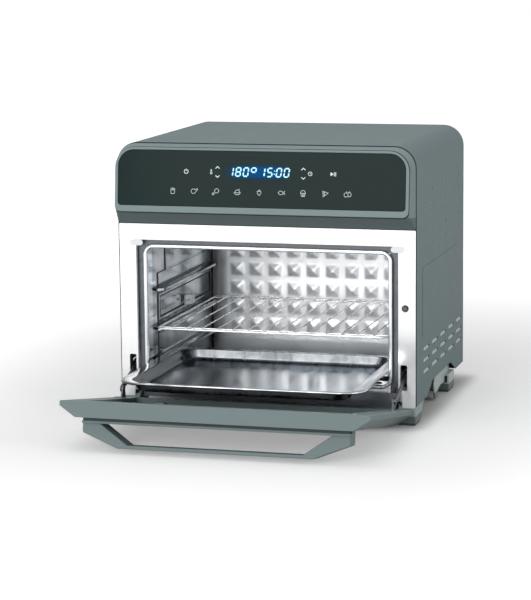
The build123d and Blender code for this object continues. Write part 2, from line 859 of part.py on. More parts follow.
board_sheet = 1.6
touch_board_in = 50.0   # from the head's side in to the board
touch_board_height = 52.0
with BuildPart() as touch_board:
    with BuildSketch(on_panel(-glass_thickness - head_web)):
        with Locations((0, panel_length / 2)):
            Rectangle(2 * (head_half - touch_board_in), touch_board_height)
    extrude(amount=-board_sheet)
save(touch_board, "touch_board")

board_stand = 8.0
board_in = 90.0         # from the body's side in to the board's middle
board_x = half_width - board_in
board_z = top_z - 75.0
board_width = 110.0
board_height = 70.0
board_parts_at = body_depth - sheet - board_stand - board_sheet
with BuildPart() as power_board:
    with BuildSketch(behind(body_depth - sheet - board_stand)):
        with Locations((board_x, board_z)):
            Rectangle(board_width, board_height)
    extrude(amount=board_sheet)
    # Transformer, capacitors and relays
    with BuildSketch(behind(board_parts_at)):
        with Locations((board_x - 30, board_z + 10)):
            Rectangle(24, 26)
        with Locations((board_x + 5, board_z + 13), (board_x + 28, board_z + 13)):
            Rectangle(15, 20)
        with Locations((board_x, board_z - 20), (board_x + 20, board_z - 20)):
            Circle(6)
    extrude(amount=10)
    # Four posts to the rear panel
    with BuildSketch(behind(body_depth - sheet)):
        with Locations((board_x, board_z)):
            with GridLocations(board_width - 10, board_height - 10, 2, 2):
                Circle(3)
    extrude(amount=board_stand)
save(power_board, "power_board")

# ---- Door: moulded surround with two panes -----------------------------------------

window_low = 24.0       # along the door
window_high = 200.0
window_half = door_half - 27.5
pane_depth = 9.5
pane_sheet = 3.0
ledge = 12.0
outer_pane_half = door_half - 35.5
outer_pane_low = 30.0
outer_pane_high = 194.0
outer_pane_sheet = 3.5
bracket_x = mouth_half - 4.0
bracket_sheet = 2.0
handle_back = 186.0
handle_front = 212.0
handle_half = door_half - 25.2
handle_root_half = handle_half - 12.0
handle_screw_s = 207.0
handle_screw_x = (handle_half + handle_root_half) / 2
handle_screw_r = 2.0
screw_head_r = 3.8
screw_head_height = 2.4


def across_door(s):
    """Plane square to the open door at this distance from the hinge axis."""
    run = (0, -cos(radians(lean)), sin(radians(lean)))
    origin = (0, hinge_y + run[1] * s, hinge_z + run[2] * s)
    return Plane(origin=origin, x_dir=(1, 0, 0), z_dir=run)


with BuildPart() as door_frame:
    with BuildSketch(across_door(-door_heel)):
        with BuildLine():
            Polyline(
                (-door_half, door_inner),
                (-door_half, door_inner - door_side_edge),
                (-door_half + door_bevel, door_outer),
                (door_half - door_bevel, door_outer),
                (door_half, door_inner - door_side_edge),
                (door_half, door_inner),
                close=True,
            )
        make_face()
        fillet(vertices(), 1.5)
    extrude(amount=door_length + door_heel)
    with BuildSketch(on_door(door_inner)):
        with Locations((0, (window_low + window_high) / 2)):
            RectangleRounded(2 * window_half, window_high - window_low, 8)
    extrude(amount=-pane_depth - pane_sheet, mode=Mode.SUBTRACT)
    with BuildSketch(on_door(door_inner)):
        with Locations((0, (window_low + window_high) / 2)):
            RectangleRounded(
                2 * (window_half - ledge),
                window_high - window_low - 2 * ledge,
                6,
            )
    extrude(amount=-door_thickness, mode=Mode.SUBTRACT)
    with BuildSketch(on_door(door_outer)):
        with Locations((0, (outer_pane_low + outer_pane_high) / 2)):
            RectangleRounded(2 * outer_pane_half, outer_pane_high - outer_pane_low, 4)
    extrude(amount=outer_pane_sheet, mode=Mode.SUBTRACT)
    # Counterbored holes for the handle's screws
    with Locations(on_door(door_inner)):
        with Locations((-handle_screw_x, handle_screw_s), (handle_screw_x, handle_screw_s)):
            CounterBoreHole(
                handle_screw_r + run_gap,
                screw_head_r + seat_gap,
                screw_head_height + seat_gap,
                door_thickness,
            )
    # Slots for the hinge brackets and bores for the pins
    for hand in (-1, 1):
        with BuildSketch(side(hand * (bracket_x - 0.6))):
            with BuildLine():
                Polyline(
                    *[
                        (
                            hinge_y - s * cos(radians(lean)) + w * sin(radians(lean)),
                            hinge_z + s * sin(radians(lean)) + w * cos(radians(lean)),
                        )
                        for s, w in ((-9, -6.5), (20, -6.5), (20, 9), (-9, 9))
                    ],
                    close=True,
                )
            make_face()
        extrude(amount=hand * (bracket_sheet + 1.2), mode=Mode.SUBTRACT)
        with BuildSketch(side(hand * (bracket_x - 7))):
            with Locations((hinge_y, hinge_z)):
                Circle(door_pin_r + run_gap)
        extrude(amount=hand * 16, mode=Mode.SUBTRACT)
save(door_frame, "door_frame")

with BuildPart() as inner_pane:
    with BuildSketch(on_door(door_inner - pane_depth)):
        with Locations((0, (window_low + window_high) / 2)):
            RectangleRounded(
                2 * (window_half - seat_gap),
                window_high - window_low - 2 * seat_gap,
                8 - seat_gap,
            )
    extrude(amount=-pane_sheet)
save(inner_pane, "inner_pane")

with BuildPart() as outer_pane:
    with BuildSketch(on_door(door_outer)):
        with Locations((0, (outer_pane_low + outer_pane_high) / 2)):
            RectangleRounded(
                2 * (outer_pane_half - seat_gap),
                outer_pane_high - outer_pane_low - 2 * seat_gap,
                4 - seat_gap,
            )
    extrude(amount=outer_pane_sheet)
save(outer_pane, "outer_pane")

pane_clip_height = 5.0
with BuildPart() as pane_clips:
    with BuildSketch(on_door(door_inner - pane_depth)):
        with Locations((0, (window_low + window_high) / 2)):
            with GridLocations(2 * window_half - 60, window_high - window_low - 10, 2, 2):
                RectangleRounded(16, 10, 1)
    extrude(amount=pane_clip_height)
save(pane_clips, "pane_clips")

# ---- Handle: trapezoid loop under the open door ------------------------------------

handle_corner = 17.4
handle_bar_half = handle_half - 43.0
handle_drop = 34.6
handle_grip_half = handle_half - 55.0
handle_bar = 4.2
handle_screw_depth = 12.0

with BuildPart() as handle:
    with BuildSketch(across_door(handle_back)):
        with BuildLine():
            Polyline(
                (-handle_half, door_outer),
                (-handle_half, door_outer - handle_corner),
                (-handle_bar_half, door_outer - handle_drop),
                (handle_bar_half, door_outer - handle_drop),
                (handle_half, door_outer - handle_corner),
                (handle_half, door_outer),
                close=True,
            )
        make_face()
        with BuildLine():
            Polyline(
                (-handle_root_half, door_outer),
                (-handle_grip_half, door_outer - handle_drop + handle_bar),
                (handle_grip_half, door_outer - handle_drop + handle_bar),
                (handle_root_half, door_outer),
                close=True,
            )
        make_face(mode=Mode.SUBTRACT)
        fillet(vertices().filter_by(lambda v: v.Y < door_outer - 1), 3)
    extrude(amount=handle_front - handle_back)
    fillet(edges().filter_by(lambda e: e.length > 150 and e.center().Z < hinge_z + 20), 1)
    with Locations(on_door(door_outer)):
        with Locations((-handle_screw_x, handle_screw_s), (handle_screw_x, handle_screw_s)):
            Hole(handle_screw_r + run_gap, depth=handle_screw_depth)
save(handle, "handle")


with BuildPart() as handle_screws:
    with BuildSketch(on_door(door_inner - seat_gap)):
        with GridLocations(2 * handle_screw_x, 1, 2, 1):
            with Locations((0, handle_screw_s)):
                Circle(screw_head_r)
    extrude(amount=-screw_head_height)
    with BuildSketch(on_door(door_inner - seat_gap - screw_head_height)):
        with GridLocations(2 * handle_screw_x, 1, 2, 1):
            with Locations((0, handle_screw_s)):
                Circle(handle_screw_r)
    extrude(amount=-(door_thickness + handle_screw_depth - screw_head_height - 1))
save(handle_screws, "handle_screws")

# ---- Door hinges: brackets on the base, pins in the door, lugs and stay arms -------

bracket_eye_r = 5.0
bracket_back = 40.0
bracket_step = 12.0
bracket_foot = 18.0
bracket_step_top = mouth_bottom - sheet - seat_gap
lug_x = slot_in + 1.0
lug_sheet = 2.0
lug_low = 33.0
lug_high = 48.0
lug_foot = 1.0
arm_pivot_s = 40.9
arm_pivot_rise = 18.7
arm_rivet_r = 1.5
arm_slope = 17.7
arm_length = 81.0
arm_width = 8.0
arm_sheet = 2.0
arm_x = lug_x + lug_sheet + seat_gap


def open_door_point(s, rise):
    """Y and Z of a point on the open door, from its place along and above it."""
    return (
        hinge_y - s * cos(radians(lean)) + rise * sin(radians(lean)),
        hinge_z + s * sin(radians(lean)) + rise * cos(radians(lean)),
    )


with BuildPart() as hinge_brackets:
    for hand in (-1, 1):
        with BuildSketch(side(hand * bracket_x)):
            with BuildLine():
                Polyline(
                    (hinge_y + 2.5, hinge_z - 4.3),
                    (front_y + 5, base_z - 5),
                    (front_y + bracket_step, base_z - 4),
                    (front_y + bracket_step, base_z + sheet),
                    (front_y + bracket_foot, base_z + sheet),
                    (front_y + bracket_back, base_z + sheet),
                    (front_y + bracket_back, bracket_top),
                    (front_y + sheet + frame_return + seat_gap, bracket_top),
                    (front_y + sheet + frame_return + seat_gap, bracket_step_top),
                    (front_y + sheet + seat_gap, bracket_step_top),
                    (front_y + sheet + seat_gap, notch_top - 1),
                    (front_y - 1, notch_top - 1),
                    (hinge_y - 3.5, hinge_z + 3.5),
                    close=True,
                )
            make_face()
            with Locations((hinge_y, hinge_z)):
                Circle(bracket_eye_r)
                Circle(door_pin_r + run_gap, mode=Mode.SUBTRACT)
        extrude(amount=hand * bracket_sheet)
        # Foot that is screwed to the base pan
        with BuildSketch(level(base_z + sheet)):
            with Locations(
                (
                    hand * (bracket_x + 4),
                    front_y + (bracket_foot + bracket_back) / 2,
                )
            ):
                Rectangle(8, bracket_back - bracket_foot)
        extrude(amount=bracket_sheet)
save(hinge_brackets, "hinge_brackets")

with BuildPart() as hinge_pins:
    for hand in (-1, 1):
        with BuildSketch(side(hand * (bracket_x - 6))):
            with Locations((hinge_y, hinge_z)):
                Circle(door_pin_r)
        extrude(amount=hand * 14)
save(hinge_pins, "hinge_pins")

with BuildPart() as arm_lugs:
    for hand in (-1, 1):
        with BuildSketch(side(hand * lug_x)):
            with BuildLine():
                Polyline(
                    open_door_point(lug_low, door_inner),
                    open_door_point(lug_high, door_inner),
                    open_door_point(arm_pivot_s + 4, arm_pivot_rise),
                    open_door_point(arm_pivot_s - 4, arm_pivot_rise),
                    close=True,
                )
            make_face()
            with Locations(open_door_point(arm_pivot_s, arm_pivot_rise)):
                Circle(4)
                Circle(arm_rivet_r + run_gap, mode=Mode.SUBTRACT)
        extrude(amount=hand * lug_sheet)
        with BuildSketch(on_door(door_inner)):
            with Locations((-hand * (lug_x + 5), (lug_low + lug_high) / 2)):
                Rectangle(10, lug_high - lug_low)
        extrude(amount=lug_foot)
save(arm_lugs, "arm_lugs")

with BuildPart() as arm_rivets:
    for hand in (-1, 1):
        with BuildSketch(side(hand * (lug_x - 1))):
            with Locations(open_door_point(arm_pivot_s, arm_pivot_rise)):
                Circle(arm_rivet_r)
        extrude(amount=hand * (lug_sheet + arm_sheet + 2))
        with BuildSketch(side(hand * (lug_x - 1))):
            with Locations(open_door_point(arm_pivot_s, arm_pivot_rise)):
                Circle(arm_rivet_r + 0.8)
        extrude(amount=hand * (1 - run_gap))
save(arm_rivets, "arm_rivets")


def stay_arm(hand, name):
    """Flat steel arm from the door's lug through the frame's slot; hooked at its end."""
    pivot_y, pivot_z = open_door_point(arm_pivot_s, arm_pivot_rise)
    with BuildPart() as arm:
        with BuildSketch(side(hand * arm_x)):
            with Locations(Location((pivot_y, pivot_z, 0), (0, 0, arm_slope))):
                with Locations((arm_length / 2, 0)):
                    SlotOverall(arm_length + arm_width, arm_width)
                # Notch that hangs on the edge of the slot, and the spring's hole
                with Locations((arm_length * 0.62, -arm_width / 2)):
                    Rectangle(7, 4.4, mode=Mode.SUBTRACT)
                with Locations((arm_length, 0)):
                    Circle(1.6, mode=Mode.SUBTRACT)
                Circle(arm_rivet_r + run_gap, mode=Mode.SUBTRACT)
        extrude(amount=hand * arm_sheet)
    save(arm, name)


stay_arm(-1, "stay_arm_left")
stay_arm(1, "stay_arm_right")

# ---- Bumpers in the mouth's upper corners and the door switch ----------------------

bumper_x = mouth_half - 0.5
bumper_z = mouth_top - 3.7
bumper_width = 17.0
bumper_height = 7.5
bumper_rise = 1.2
with BuildPart() as bumpers:
    with BuildSketch(behind(0)):
        with Locations((0, bumper_z)):
            with GridLocations(2 * bumper_x, 1, 2, 1):
                SlotOverall(bumper_width, bumper_height)
    extrude(amount=bumper_rise)
    fillet(faces().filter_by(Axis.Y).group_by(Axis.Y)[0].edges(), 0.6)
save(bumpers, "bumpers")

switch_travel = 5.3
switch_stand = 6.5
switch_body_depth = 20.0
with BuildPart() as switch_plunger:
    with Locations((switch_x, front_y - switch_stand + switch_ball_r, switch_z)):
        Sphere(switch_ball_r)
    with BuildSketch(behind(-switch_stand + switch_ball_r)):
        with Locations((switch_x, switch_z)):
            Circle(switch_stem_r)
    extrude(amount=-(bulkhead_at + sheet + 12 + switch_stand - switch_ball_r))
save(switch_plunger, "switch_plunger")

with BuildPart() as switch_body:
    with BuildSketch(behind(bulkhead_at + sheet)):
        with Locations((switch_x, switch_z)):
            RectangleRounded(11, 16, 1)
            Circle(switch_stem_r + run_gap, mode=Mode.SUBTRACT)
    extrude(amount=-switch_body_depth)
save(switch_body, "switch_body")

# ---- Wire rack -----------------------------------------------------------------------


def half_loop(half, front, back, z, corner):
    """Right half of a rounded rectangle, from the middle of its front to its back."""
    Line((0, front, z), (half - corner, front, z))
    RadiusArc((half - corner, front, z), (half, front + corner, z), -corner)
    Line((half, front + corner, z), (half, back - corner, z))
    RadiusArc((half, back - corner, z), (half - corner, back, z), -corner)
    Line((half - corner, back, z), (0, back, z))


rod_pitch = 20.0
rod_edge = 15.0         # least distance of a rod from the rack's side wire
rod_count = 1 + int(2 * (rack_half - rod_edge) / rod_pitch)
cross_in = 12.0
rack_corner = 12.0
with BuildPart() as wire_rack:
    with BuildLine() as rack_half_loop:
        half_loop(rack_half, front_y + rack_front, front_y + rack_back, rack_z, rack_corner)
    with BuildSketch(Plane(origin=(0, front_y + rack_front, rack_z), z_dir=(1, 0, 0))):
        Circle(rack_wire_r)
    sweep(path=rack_half_loop.line)
    mirror(about=Plane.YZ)
    # Cross wires under the rods
    for place in (rack_front + cross_in, rack_back - cross_in):
        with BuildSketch(side(-rack_half)):
            with Locations((front_y + place, rack_z)):
                Circle(rack_wire_r * 0.7)
        extrude(amount=2 * rack_half)
    with BuildSketch(behind(rack_front)):
        with Locations((0, rack_z + rack_wire_r * 0.7 + rack_rod_r * 0.6)):
            with GridLocations(rod_pitch, 1, rod_count, 1):
                Circle(rack_rod_r)
    extrude(amount=-rack_length)
save(wire_rack, "wire_rack")

# ---- Baking tray ---------------------------------------------------------------------

tray_flange = 13.5
tray_end_flange = 4.0
tray_corner = 22.0
tray_rim_corner = 27.0
tray_taper = 28.0
tray_roll_r = 1.4
tray_middle = front_y - tray_pull + tray_length / 2
tray_bottom_radius = 4.0
with BuildPart() as baking_tray:
    with BuildSketch(level(tray_rim_z)):
        with Locations((0, tray_middle)):
            RectangleRounded(
                2 * (tray_half - tray_flange),
                tray_length - 2 * tray_end_flange,
                tray_corner,
            )
    extrude(amount=-tray_depth, taper=tray_taper)
    fillet(faces().sort_by(Axis.Z)[0].edges(), tray_bottom_radius)
    with BuildSketch(level(tray_rim_z)):
        with Locations((0, tray_middle)):
            RectangleRounded(
                2 * (tray_half - tray_flange - tray_sheet),
                tray_length - 2 * (tray_end_flange + tray_sheet),
                tray_corner - tray_sheet,
            )
    extrude(amount=-(tray_depth - tray_sheet), taper=tray_taper, mode=Mode.SUBTRACT)
    with BuildSketch(level(tray_rim_z)):
        with Locations((0, tray_middle)):
            RectangleRounded(
                2 * (tray_half - tray_roll_r),
                tray_length - 2 * tray_roll_r,
                tray_rim_corner - tray_roll_r,
            )
            RectangleRounded(
                2 * (tray_half - tray_flange - tray_sheet),
                tray_length - 2 * (tray_end_flange + tray_sheet),
                tray_corner - tray_sheet,
                mode=Mode.SUBTRACT,
            )
    extrude(amount=-tray_sheet)
    # Rolled edge
    with BuildLine() as tray_half_loop:
        half_loop(
            tray_half - tray_roll_r,
            front_y - tray_pull + tray_roll_r,
            front_y - tray_pull + tray_length - tray_roll_r,
            tray_rim_z - tray_roll_r,
            tray_rim_corner - tray_roll_r,
        )
    with BuildSketch(
        Plane(
            origin=(0, front_y - tray_pull + tray_roll_r, tray_rim_z - tray_roll_r),
            z_dir=(1, 0, 0),
        )
    ):
        Circle(tray_roll_r)
    sweep(path=tray_half_loop.line)
    mirror(about=Plane.YZ)
save(baking_tray, "baking_tray")

# ---- Feet ------------------------------------------------------------------------------

foot_half = half_width - 1.5
front_foot_in = half_width - 23.0
front_foot_length = 50.0
pad_height = 3.0
rear_foot_in = half_width - 25.0
wing_x = half_width - 9.7
wing_front = rear_foot_front - 59.0
wing_leg = 18.0
wing_sheet = 2.0
wing_arch = 12.5


def front_foot(hand, name):
    """Wedge foot under a front corner."""
    with BuildPart() as foot:
        with BuildSketch(side(hand * front_foot_in)):
            with BuildLine():
                Polyline(
                    (front_y + 1.0, pad_height),
                    (front_y + 1.0, base_z - 2),
                    (front_y + sheet + pan_front, base_z - 2),
                    (front_y + sheet + pan_front, base_z),
                    (front_y + front_foot_length, base_z),
                    (front_y + 0.6 * front_foot_length, pad_height),
                    close=True,
                )
            make_face()
        extrude(amount=hand * (foot_half - front_foot_in))
        fillet(edges().filter_by(Axis.Z), 1.5)
    save(foot, name)


def rear_foot(hand, name):
    """Hollow rear foot with a wing that fills the arch in the cover's side."""
    wing_top = base_z + arch_height + 3
    with BuildPart() as foot:
        with BuildSketch(side(hand * rear_foot_in)):
            with Locations((front_y + (rear_foot_front + rear_foot_back) / 2, pad_height)):
                Rectangle(
                    rear_foot_back - rear_foot_front,
                    base_z - pad_height,
                    align=(Align.CENTER, Align.MIN),
                )
        extrude(amount=hand * (foot_half - rear_foot_in))
        with BuildSketch(behind(rear_foot_front)):
            with Locations((hand * (rear_foot_in + foot_half) / 2, wing_arch)):
                Rectangle(
                    foot_half - rear_foot_in - 5,
                    base_z - wing_arch - 2.5,
                    align=(Align.CENTER, Align.MIN),
                )
        extrude(amount=-(rear_foot_back - rear_foot_front - 3), mode=Mode.SUBTRACT)
        with BuildSketch(side(hand * wing_x)):
            with BuildLine():
                Polyline(
                    (front_y + wing_front, pad_height),
                    (front_y + wing_front - 6, base_z),
                    (front_y + wing_front + 6, wing_top),
                    (front_y + rear_foot_back - 12, wing_top),
                    (front_y + rear_foot_back, base_z),
                    (front_y + rear_foot_back, wing_arch),
                    (front_y + wing_front + 2 * wing_leg, wing_arch + 2),
                    (front_y + wing_front + wing_leg, wing_arch - 1),
                    (front_y + wing_front + wing_leg, pad_height),
                    close=True,
                )
            make_face()
        extrude(amount=hand * wing_sheet)
    save(foot, name)


front_foot(-1, "front_left_foot")
front_foot(1, "front_right_foot")
rear_foot(-1, "rear_left_foot")
rear_foot(1, "rear_right_foot")

pad_inset = 1.0
with BuildPart() as foot_pads:
    for hand in (-1, 1):
        with BuildSketch(level(0)):
            with Locations(
                (
                    hand * (front_foot_in + foot_half) / 2,
                    front_y + 1 + (0.6 * front_foot_length - 1) / 2,
                )
            ):
                Rectangle(
                    foot_half - front_foot_in - 2 * pad_inset,
                    0.6 * front_foot_length - 1 - 2 * pad_inset,
                )
            with Locations(
                (
                    hand * (rear_foot_in + foot_half) / 2,
                    front_y + (rear_foot_front + rear_foot_back) / 2,
                )
            ):
                Rectangle(
                    foot_half - rear_foot_in - 2 * pad_inset,
                    rear_foot_back - rear_foot_front - 2 * pad_inset,
                )
    extrude(amount=pad_height)
save(foot_pads, "foot_pads")

# ---- Screws of the cover and the head ------------------------------------------------

case_screw_in = 12.0    # from the body's side
case_screw_end = 30.0   # from the body's top and bottom
case_screw_height = 1.6
with BuildPart() as case_screws:
    with BuildSketch(behind(body_depth)):
        with Locations((0, base_z + body_height / 2)):
            with GridLocations(
                body_width - 2 * case_screw_in, body_height / 2 - case_screw_end, 2, 3
            ):
                Circle(screw_head_r)
    extrude(amount=-case_screw_height)
    fillet(faces().filter_by(Axis.Y).sort_by(Axis.Y)[-6:].edges(), 0.7)
save(case_screws, "case_screws")
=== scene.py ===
import json
from math import cos, pi, radians, sin

import bmesh
import bpy
from mathutils import Matrix, Vector


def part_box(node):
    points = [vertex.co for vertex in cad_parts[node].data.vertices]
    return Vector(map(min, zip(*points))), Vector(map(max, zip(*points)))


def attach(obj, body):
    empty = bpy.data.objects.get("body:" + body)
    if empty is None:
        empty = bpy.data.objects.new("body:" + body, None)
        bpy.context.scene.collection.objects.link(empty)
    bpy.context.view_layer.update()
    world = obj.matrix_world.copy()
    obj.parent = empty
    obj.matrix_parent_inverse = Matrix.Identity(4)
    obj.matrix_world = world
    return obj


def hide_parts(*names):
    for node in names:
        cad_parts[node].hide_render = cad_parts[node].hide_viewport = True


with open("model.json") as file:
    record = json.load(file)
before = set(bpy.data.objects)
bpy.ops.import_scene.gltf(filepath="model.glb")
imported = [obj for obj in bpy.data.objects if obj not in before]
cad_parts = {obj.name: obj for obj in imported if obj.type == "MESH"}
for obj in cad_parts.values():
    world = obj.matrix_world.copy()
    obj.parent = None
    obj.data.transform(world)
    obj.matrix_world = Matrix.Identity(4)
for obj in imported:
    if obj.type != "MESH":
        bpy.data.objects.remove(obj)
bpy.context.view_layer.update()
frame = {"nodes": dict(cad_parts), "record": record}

# ---- Studio ----------------------------------------------------------------------------
# A pale matt floor under an even white sky, with three large soft lamps round the oven.
# The sky is white to the camera and in reflections, and dimmer as a light.

scene = bpy.context.scene
scene.view_settings.view_transform = "Standard"


class Wire:
    """Output of a node; arithmetic on wires adds Math nodes to their tree."""

    def __init__(self, maker, socket):
        self.maker = maker
        self.socket = socket

    def maths(self, operation, *others):
        return self.maker.maths(operation, self, *others)

    def __abs__(self):
        return self.maths("ABSOLUTE")

    def __add__(self, other):
        return self.maths("ADD", other)

    def __sub__(self, other):
        return self.maths("SUBTRACT", other)

    def __rsub__(self, other):
        return self.maker.maths("SUBTRACT", other, self)

    def __mul__(self, other):
        return self.maths("MULTIPLY", other)

    def __truediv__(self, other):
        return self.maths("DIVIDE", other)

    def __rtruediv__(self, other):
        return self.maker.maths("DIVIDE", other, self)

    def __pow__(self, other):
        return self.maths("POWER", other)

    def __rpow__(self, other):
        return self.maker.maths("POWER", other, self)

    __radd__ = __add__
    __rmul__ = __mul__


class Nodes:
    """A node tree in the making. A list of values joins them all to one socket."""

    def __init__(self, tree):
        self.tree = tree
        tree.nodes.clear()

    def node(self, kind, settings=(), inputs=(), out=0):
        made = self.tree.nodes.new(kind)
        for key, value in dict(settings).items():
            setattr(made, key, value)
        pairs = inputs.items() if isinstance(inputs, dict) else enumerate(inputs)
        for key, value in pairs:
            socket = made.inputs[key]
            for each in value if isinstance(value, list) else [value]:
                if isinstance(each, Wire):
                    self.tree.links.new(each.socket, socket)
                elif socket.type == "RGBA" and len(each) == 3:
                    socket.default_value = (*each, 1)
                else:
                    socket.default_value = each
        return Wire(self, made.outputs[out]) if made.outputs else None

    def maths(self, operation, *values):
        return self.node("ShaderNodeMath", {"operation": operation}, values)


class Finish(Nodes):
    """A material in the making; surface() closes it."""

    def __init__(self, name):
        self.material = bpy.data.materials.new(name)
        self.material.use_nodes = True
        super().__init__(self.material.node_tree)

    def place(self, stretch=(1, 1, 1), turn=(0, 0, 0)):
        """Object coordinates, turned and stretched."""
        coordinates = self.node("ShaderNodeTexCoord", out="Object")
        return self.node(
            "ShaderNodeMapping",
            {},
            {"Vector": coordinates, "Rotation": turn, "Scale": stretch},
        )

    def along(self, axis):
        """Place along one axis, in metres."""
        return self.node("ShaderNodeSeparateXYZ", {}, {"Vector": self.place()}, out=axis)

    def noise(self, scale, detail=2.0, stretch=(1, 1, 1)):
        return self.node(
            "ShaderNodeTexNoise",
            {},
            {"Vector": self.place(stretch), "Scale": scale, "Detail": detail},
        )

    def between(self, value, low, high, new_low, new_high):
        """The value carried from one range to another, with smooth ends."""
        return self.node(
            "ShaderNodeMapRange",
            {"interpolation_type": "SMOOTHSTEP"},
            {0: value, 1: low, 2: high, 3: new_low, 4: new_high},
        )

    def mixed(self, factor, first, second):
        return self.node(
            "ShaderNodeMix",
            {"data_type": "RGBA"},
            {0: factor, 6: first, 7: second},
            out=2,
        )

    def bump(self, height, distance):
        """Surface relief, with its height in metres."""
        return self.node("ShaderNodeBump", {}, {"Height": height, "Distance": distance})

    def surface(self, **inputs):
        """Principled shader with these inputs, joined to the output."""
        names = {name.replace("_", " "): value for name, value in inputs.items()}
        shader = self.node("ShaderNodeBsdfPrincipled", {}, names)
        self.node("ShaderNodeOutputMaterial", {}, {"Surface": shader})
        return self.material


def in_scene(name, data):
    """Object at the origin for a mesh, a lamp or a lens."""
    made = bpy.data.objects.new(name, data)
    scene.collection.objects.link(made)
    return made


sky = bpy.data.worlds.new("white_sky")
scene.world = sky
sky.use_nodes = True
sky_nodes = Nodes(sky.node_tree)
sky_direct, sky_glossy, sky_through = [
    sky_nodes.node("ShaderNodeLightPath", out=f"Is {ray} Ray")
    for ray in ("Camera", "Glossy", "Transmission")
]
sky_seen = sky_direct.maths("MAXIMUM", sky_glossy).maths("MAXIMUM", sky_through)
sky_lighting = 0.45
sky_level = sky_nodes.node(
    "ShaderNodeMapRange", {}, {"Value": sky_seen, "To Min": sky_lighting, "To Max": 1.0}
)
sky_white = sky_nodes.node(
    "ShaderNodeBackground", {}, {"Color": (1, 1, 1), "Strength": sky_level}
)
sky_nodes.node("ShaderNodeOutputWorld", {}, {"Surface": sky_white})

# The floor is lit as usual near the oven, and its glow whitens it further away
floor_finish = Finish("studio_floor")
floor_direct = floor_finish.node("ShaderNodeLightPath", out="Is Camera Ray")
floor_glossy = floor_finish.node("ShaderNodeLightPath", out="Is Glossy Ray")
floor_matt = floor_finish.node("ShaderNodeBsdfDiffuse", {}, {"Color": (0.8, 0.8, 0.8)})
floor_dull = floor_finish.node("ShaderNodeBsdfDiffuse", {}, {"Color": (0.5, 0.5, 0.5)})
oven_low, oven_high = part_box("base_pan")
floor_gaps = []
for axis, low_edge, high_edge, weight in (
    ("X", oven_low.x, oven_high.x, 2.2),
    ("Y", oven_low.y, oven_high.y, 0.55),
):
    off_middle = abs(floor_finish.along(axis) - (low_edge + high_edge) / 2)
    beyond = off_middle - (high_edge - low_edge) / 2
    floor_gaps.append(weight * beyond.maths("MAXIMUM", 0.0) ** 2.0)
floor_away = (floor_gaps[0] + floor_gaps[1]) ** 0.5
floor_near_glow = floor_finish.between(floor_away, 0.0, 0.04, 0.0, 0.32)
floor_far_glow = floor_finish.between(floor_away, 0.1, 0.8, 0.0, 0.42)
floor_glow = floor_finish.node(
    "ShaderNodeEmission",
    {},
    {"Color": (1, 1, 1), "Strength": floor_near_glow + floor_far_glow},
)
floor_both = floor_finish.node("ShaderNodeAddShader", {}, [floor_matt, floor_glow])
floor_seen = floor_finish.node(
    "ShaderNodeMixShader",
    {},
    [floor_direct.maths("MAXIMUM", floor_glossy), floor_dull, floor_both],
)
floor_finish.node("ShaderNodeOutputMaterial", {}, {"Surface": floor_seen})
floor_mesh = bpy.data.meshes.new("studio_floor")
floor_half = 12.0
floor_mesh.from_pydata(
    [(x * floor_half, y * floor_half, 0) for x, y in ((-1, -1), (1, -1), (1, 1), (-1, 1))],
    [],
    [(0, 1, 2, 3)],
)
floor_mesh.materials.append(floor_finish.material)
studio_floor = in_scene("studio_floor", floor_mesh)

lamp_aim = Vector((0, 0, 0.2))


def soft_lamp(name, place, width, power):
    """Square area lamp that faces the oven."""
    light = bpy.data.lights.new(name, "AREA")
    light.size = width
    light.energy = power
    lamp = in_scene(name, light)
    lamp.location = place
    lamp.rotation_euler = (lamp_aim - Vector(place)).to_track_quat("-Z", "Y").to_euler()


soft_lamp("lamp_above", place=(-0.4, -0.7, 2.2), width=1.6, power=6.4)
soft_lamp("lamp_front", place=(-0.4, -2.5, 0.75), width=1.2, power=28.5)
soft_lamp("lamp_side", place=(2.3, -0.9, 0.9), width=1.2, power=11.5)

camera_yaw = radians(15.838)
camera_pitch = radians(9.394)
camera_roll = radians(-0.612)
camera_place = Vector((0.74684, -2.66710, 0.60236))
view_out = Vector(
    (-sin(camera_yaw) * cos(camera_pitch), cos(camera_yaw) * cos(camera_pitch), -sin(camera_pitch))
)
view_level = Vector((cos(camera_yaw), sin(camera_yaw), 0))
view_rise = view_level.cross(view_out)
view_right = cos(camera_roll) * view_level + sin(camera_roll) * view_rise
view_up = cos(camera_roll) * view_rise - sin(camera_roll) * view_level


def turned_to(right, up, out, place):
    """Matrix that sets something up with these three axes at a place."""
    return Matrix.Translation(place) @ Matrix((right, up, out)).transposed().to_4x4()


lens = bpy.data.cameras.new("camera")
lens.lens = 135.17
lens.sensor_width = 36
lens.sensor_fit = "AUTO"
lens.clip_end = 60
camera = in_scene("camera", lens)
camera.matrix_world = turned_to(view_right, view_up, -view_out, camera_place)
scene.camera = camera

# ---- Painted sheet: cover --------------------------------------------------------------
# One steel sheet folded over both sides and the top, powder coated in a dark grey green.
# Its slots and holes are punched, and its cut edges are broken.

record = frame["record"]
body_of = {
    node: body for body, nodes in record["behaviour"]["bodies"].items() for node in nodes
}


def settle(piece, node):
    """The piece rides with a node's body and stands for it."""
    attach(piece, body_of[node])
    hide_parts(node)


def smooth_mesh(name, shape, sharp=None):
    """Mesh of a drawn shape, smooth but for bends of more than this many degrees."""
    mesh = bpy.data.meshes.new(name)
    shape.to_mesh(mesh)
    shape.free()
    for face in mesh.polygons:
        face.use_smooth = True
    if sharp:
        mesh.set_sharp_from_angle(angle=radians(sharp))
    return mesh


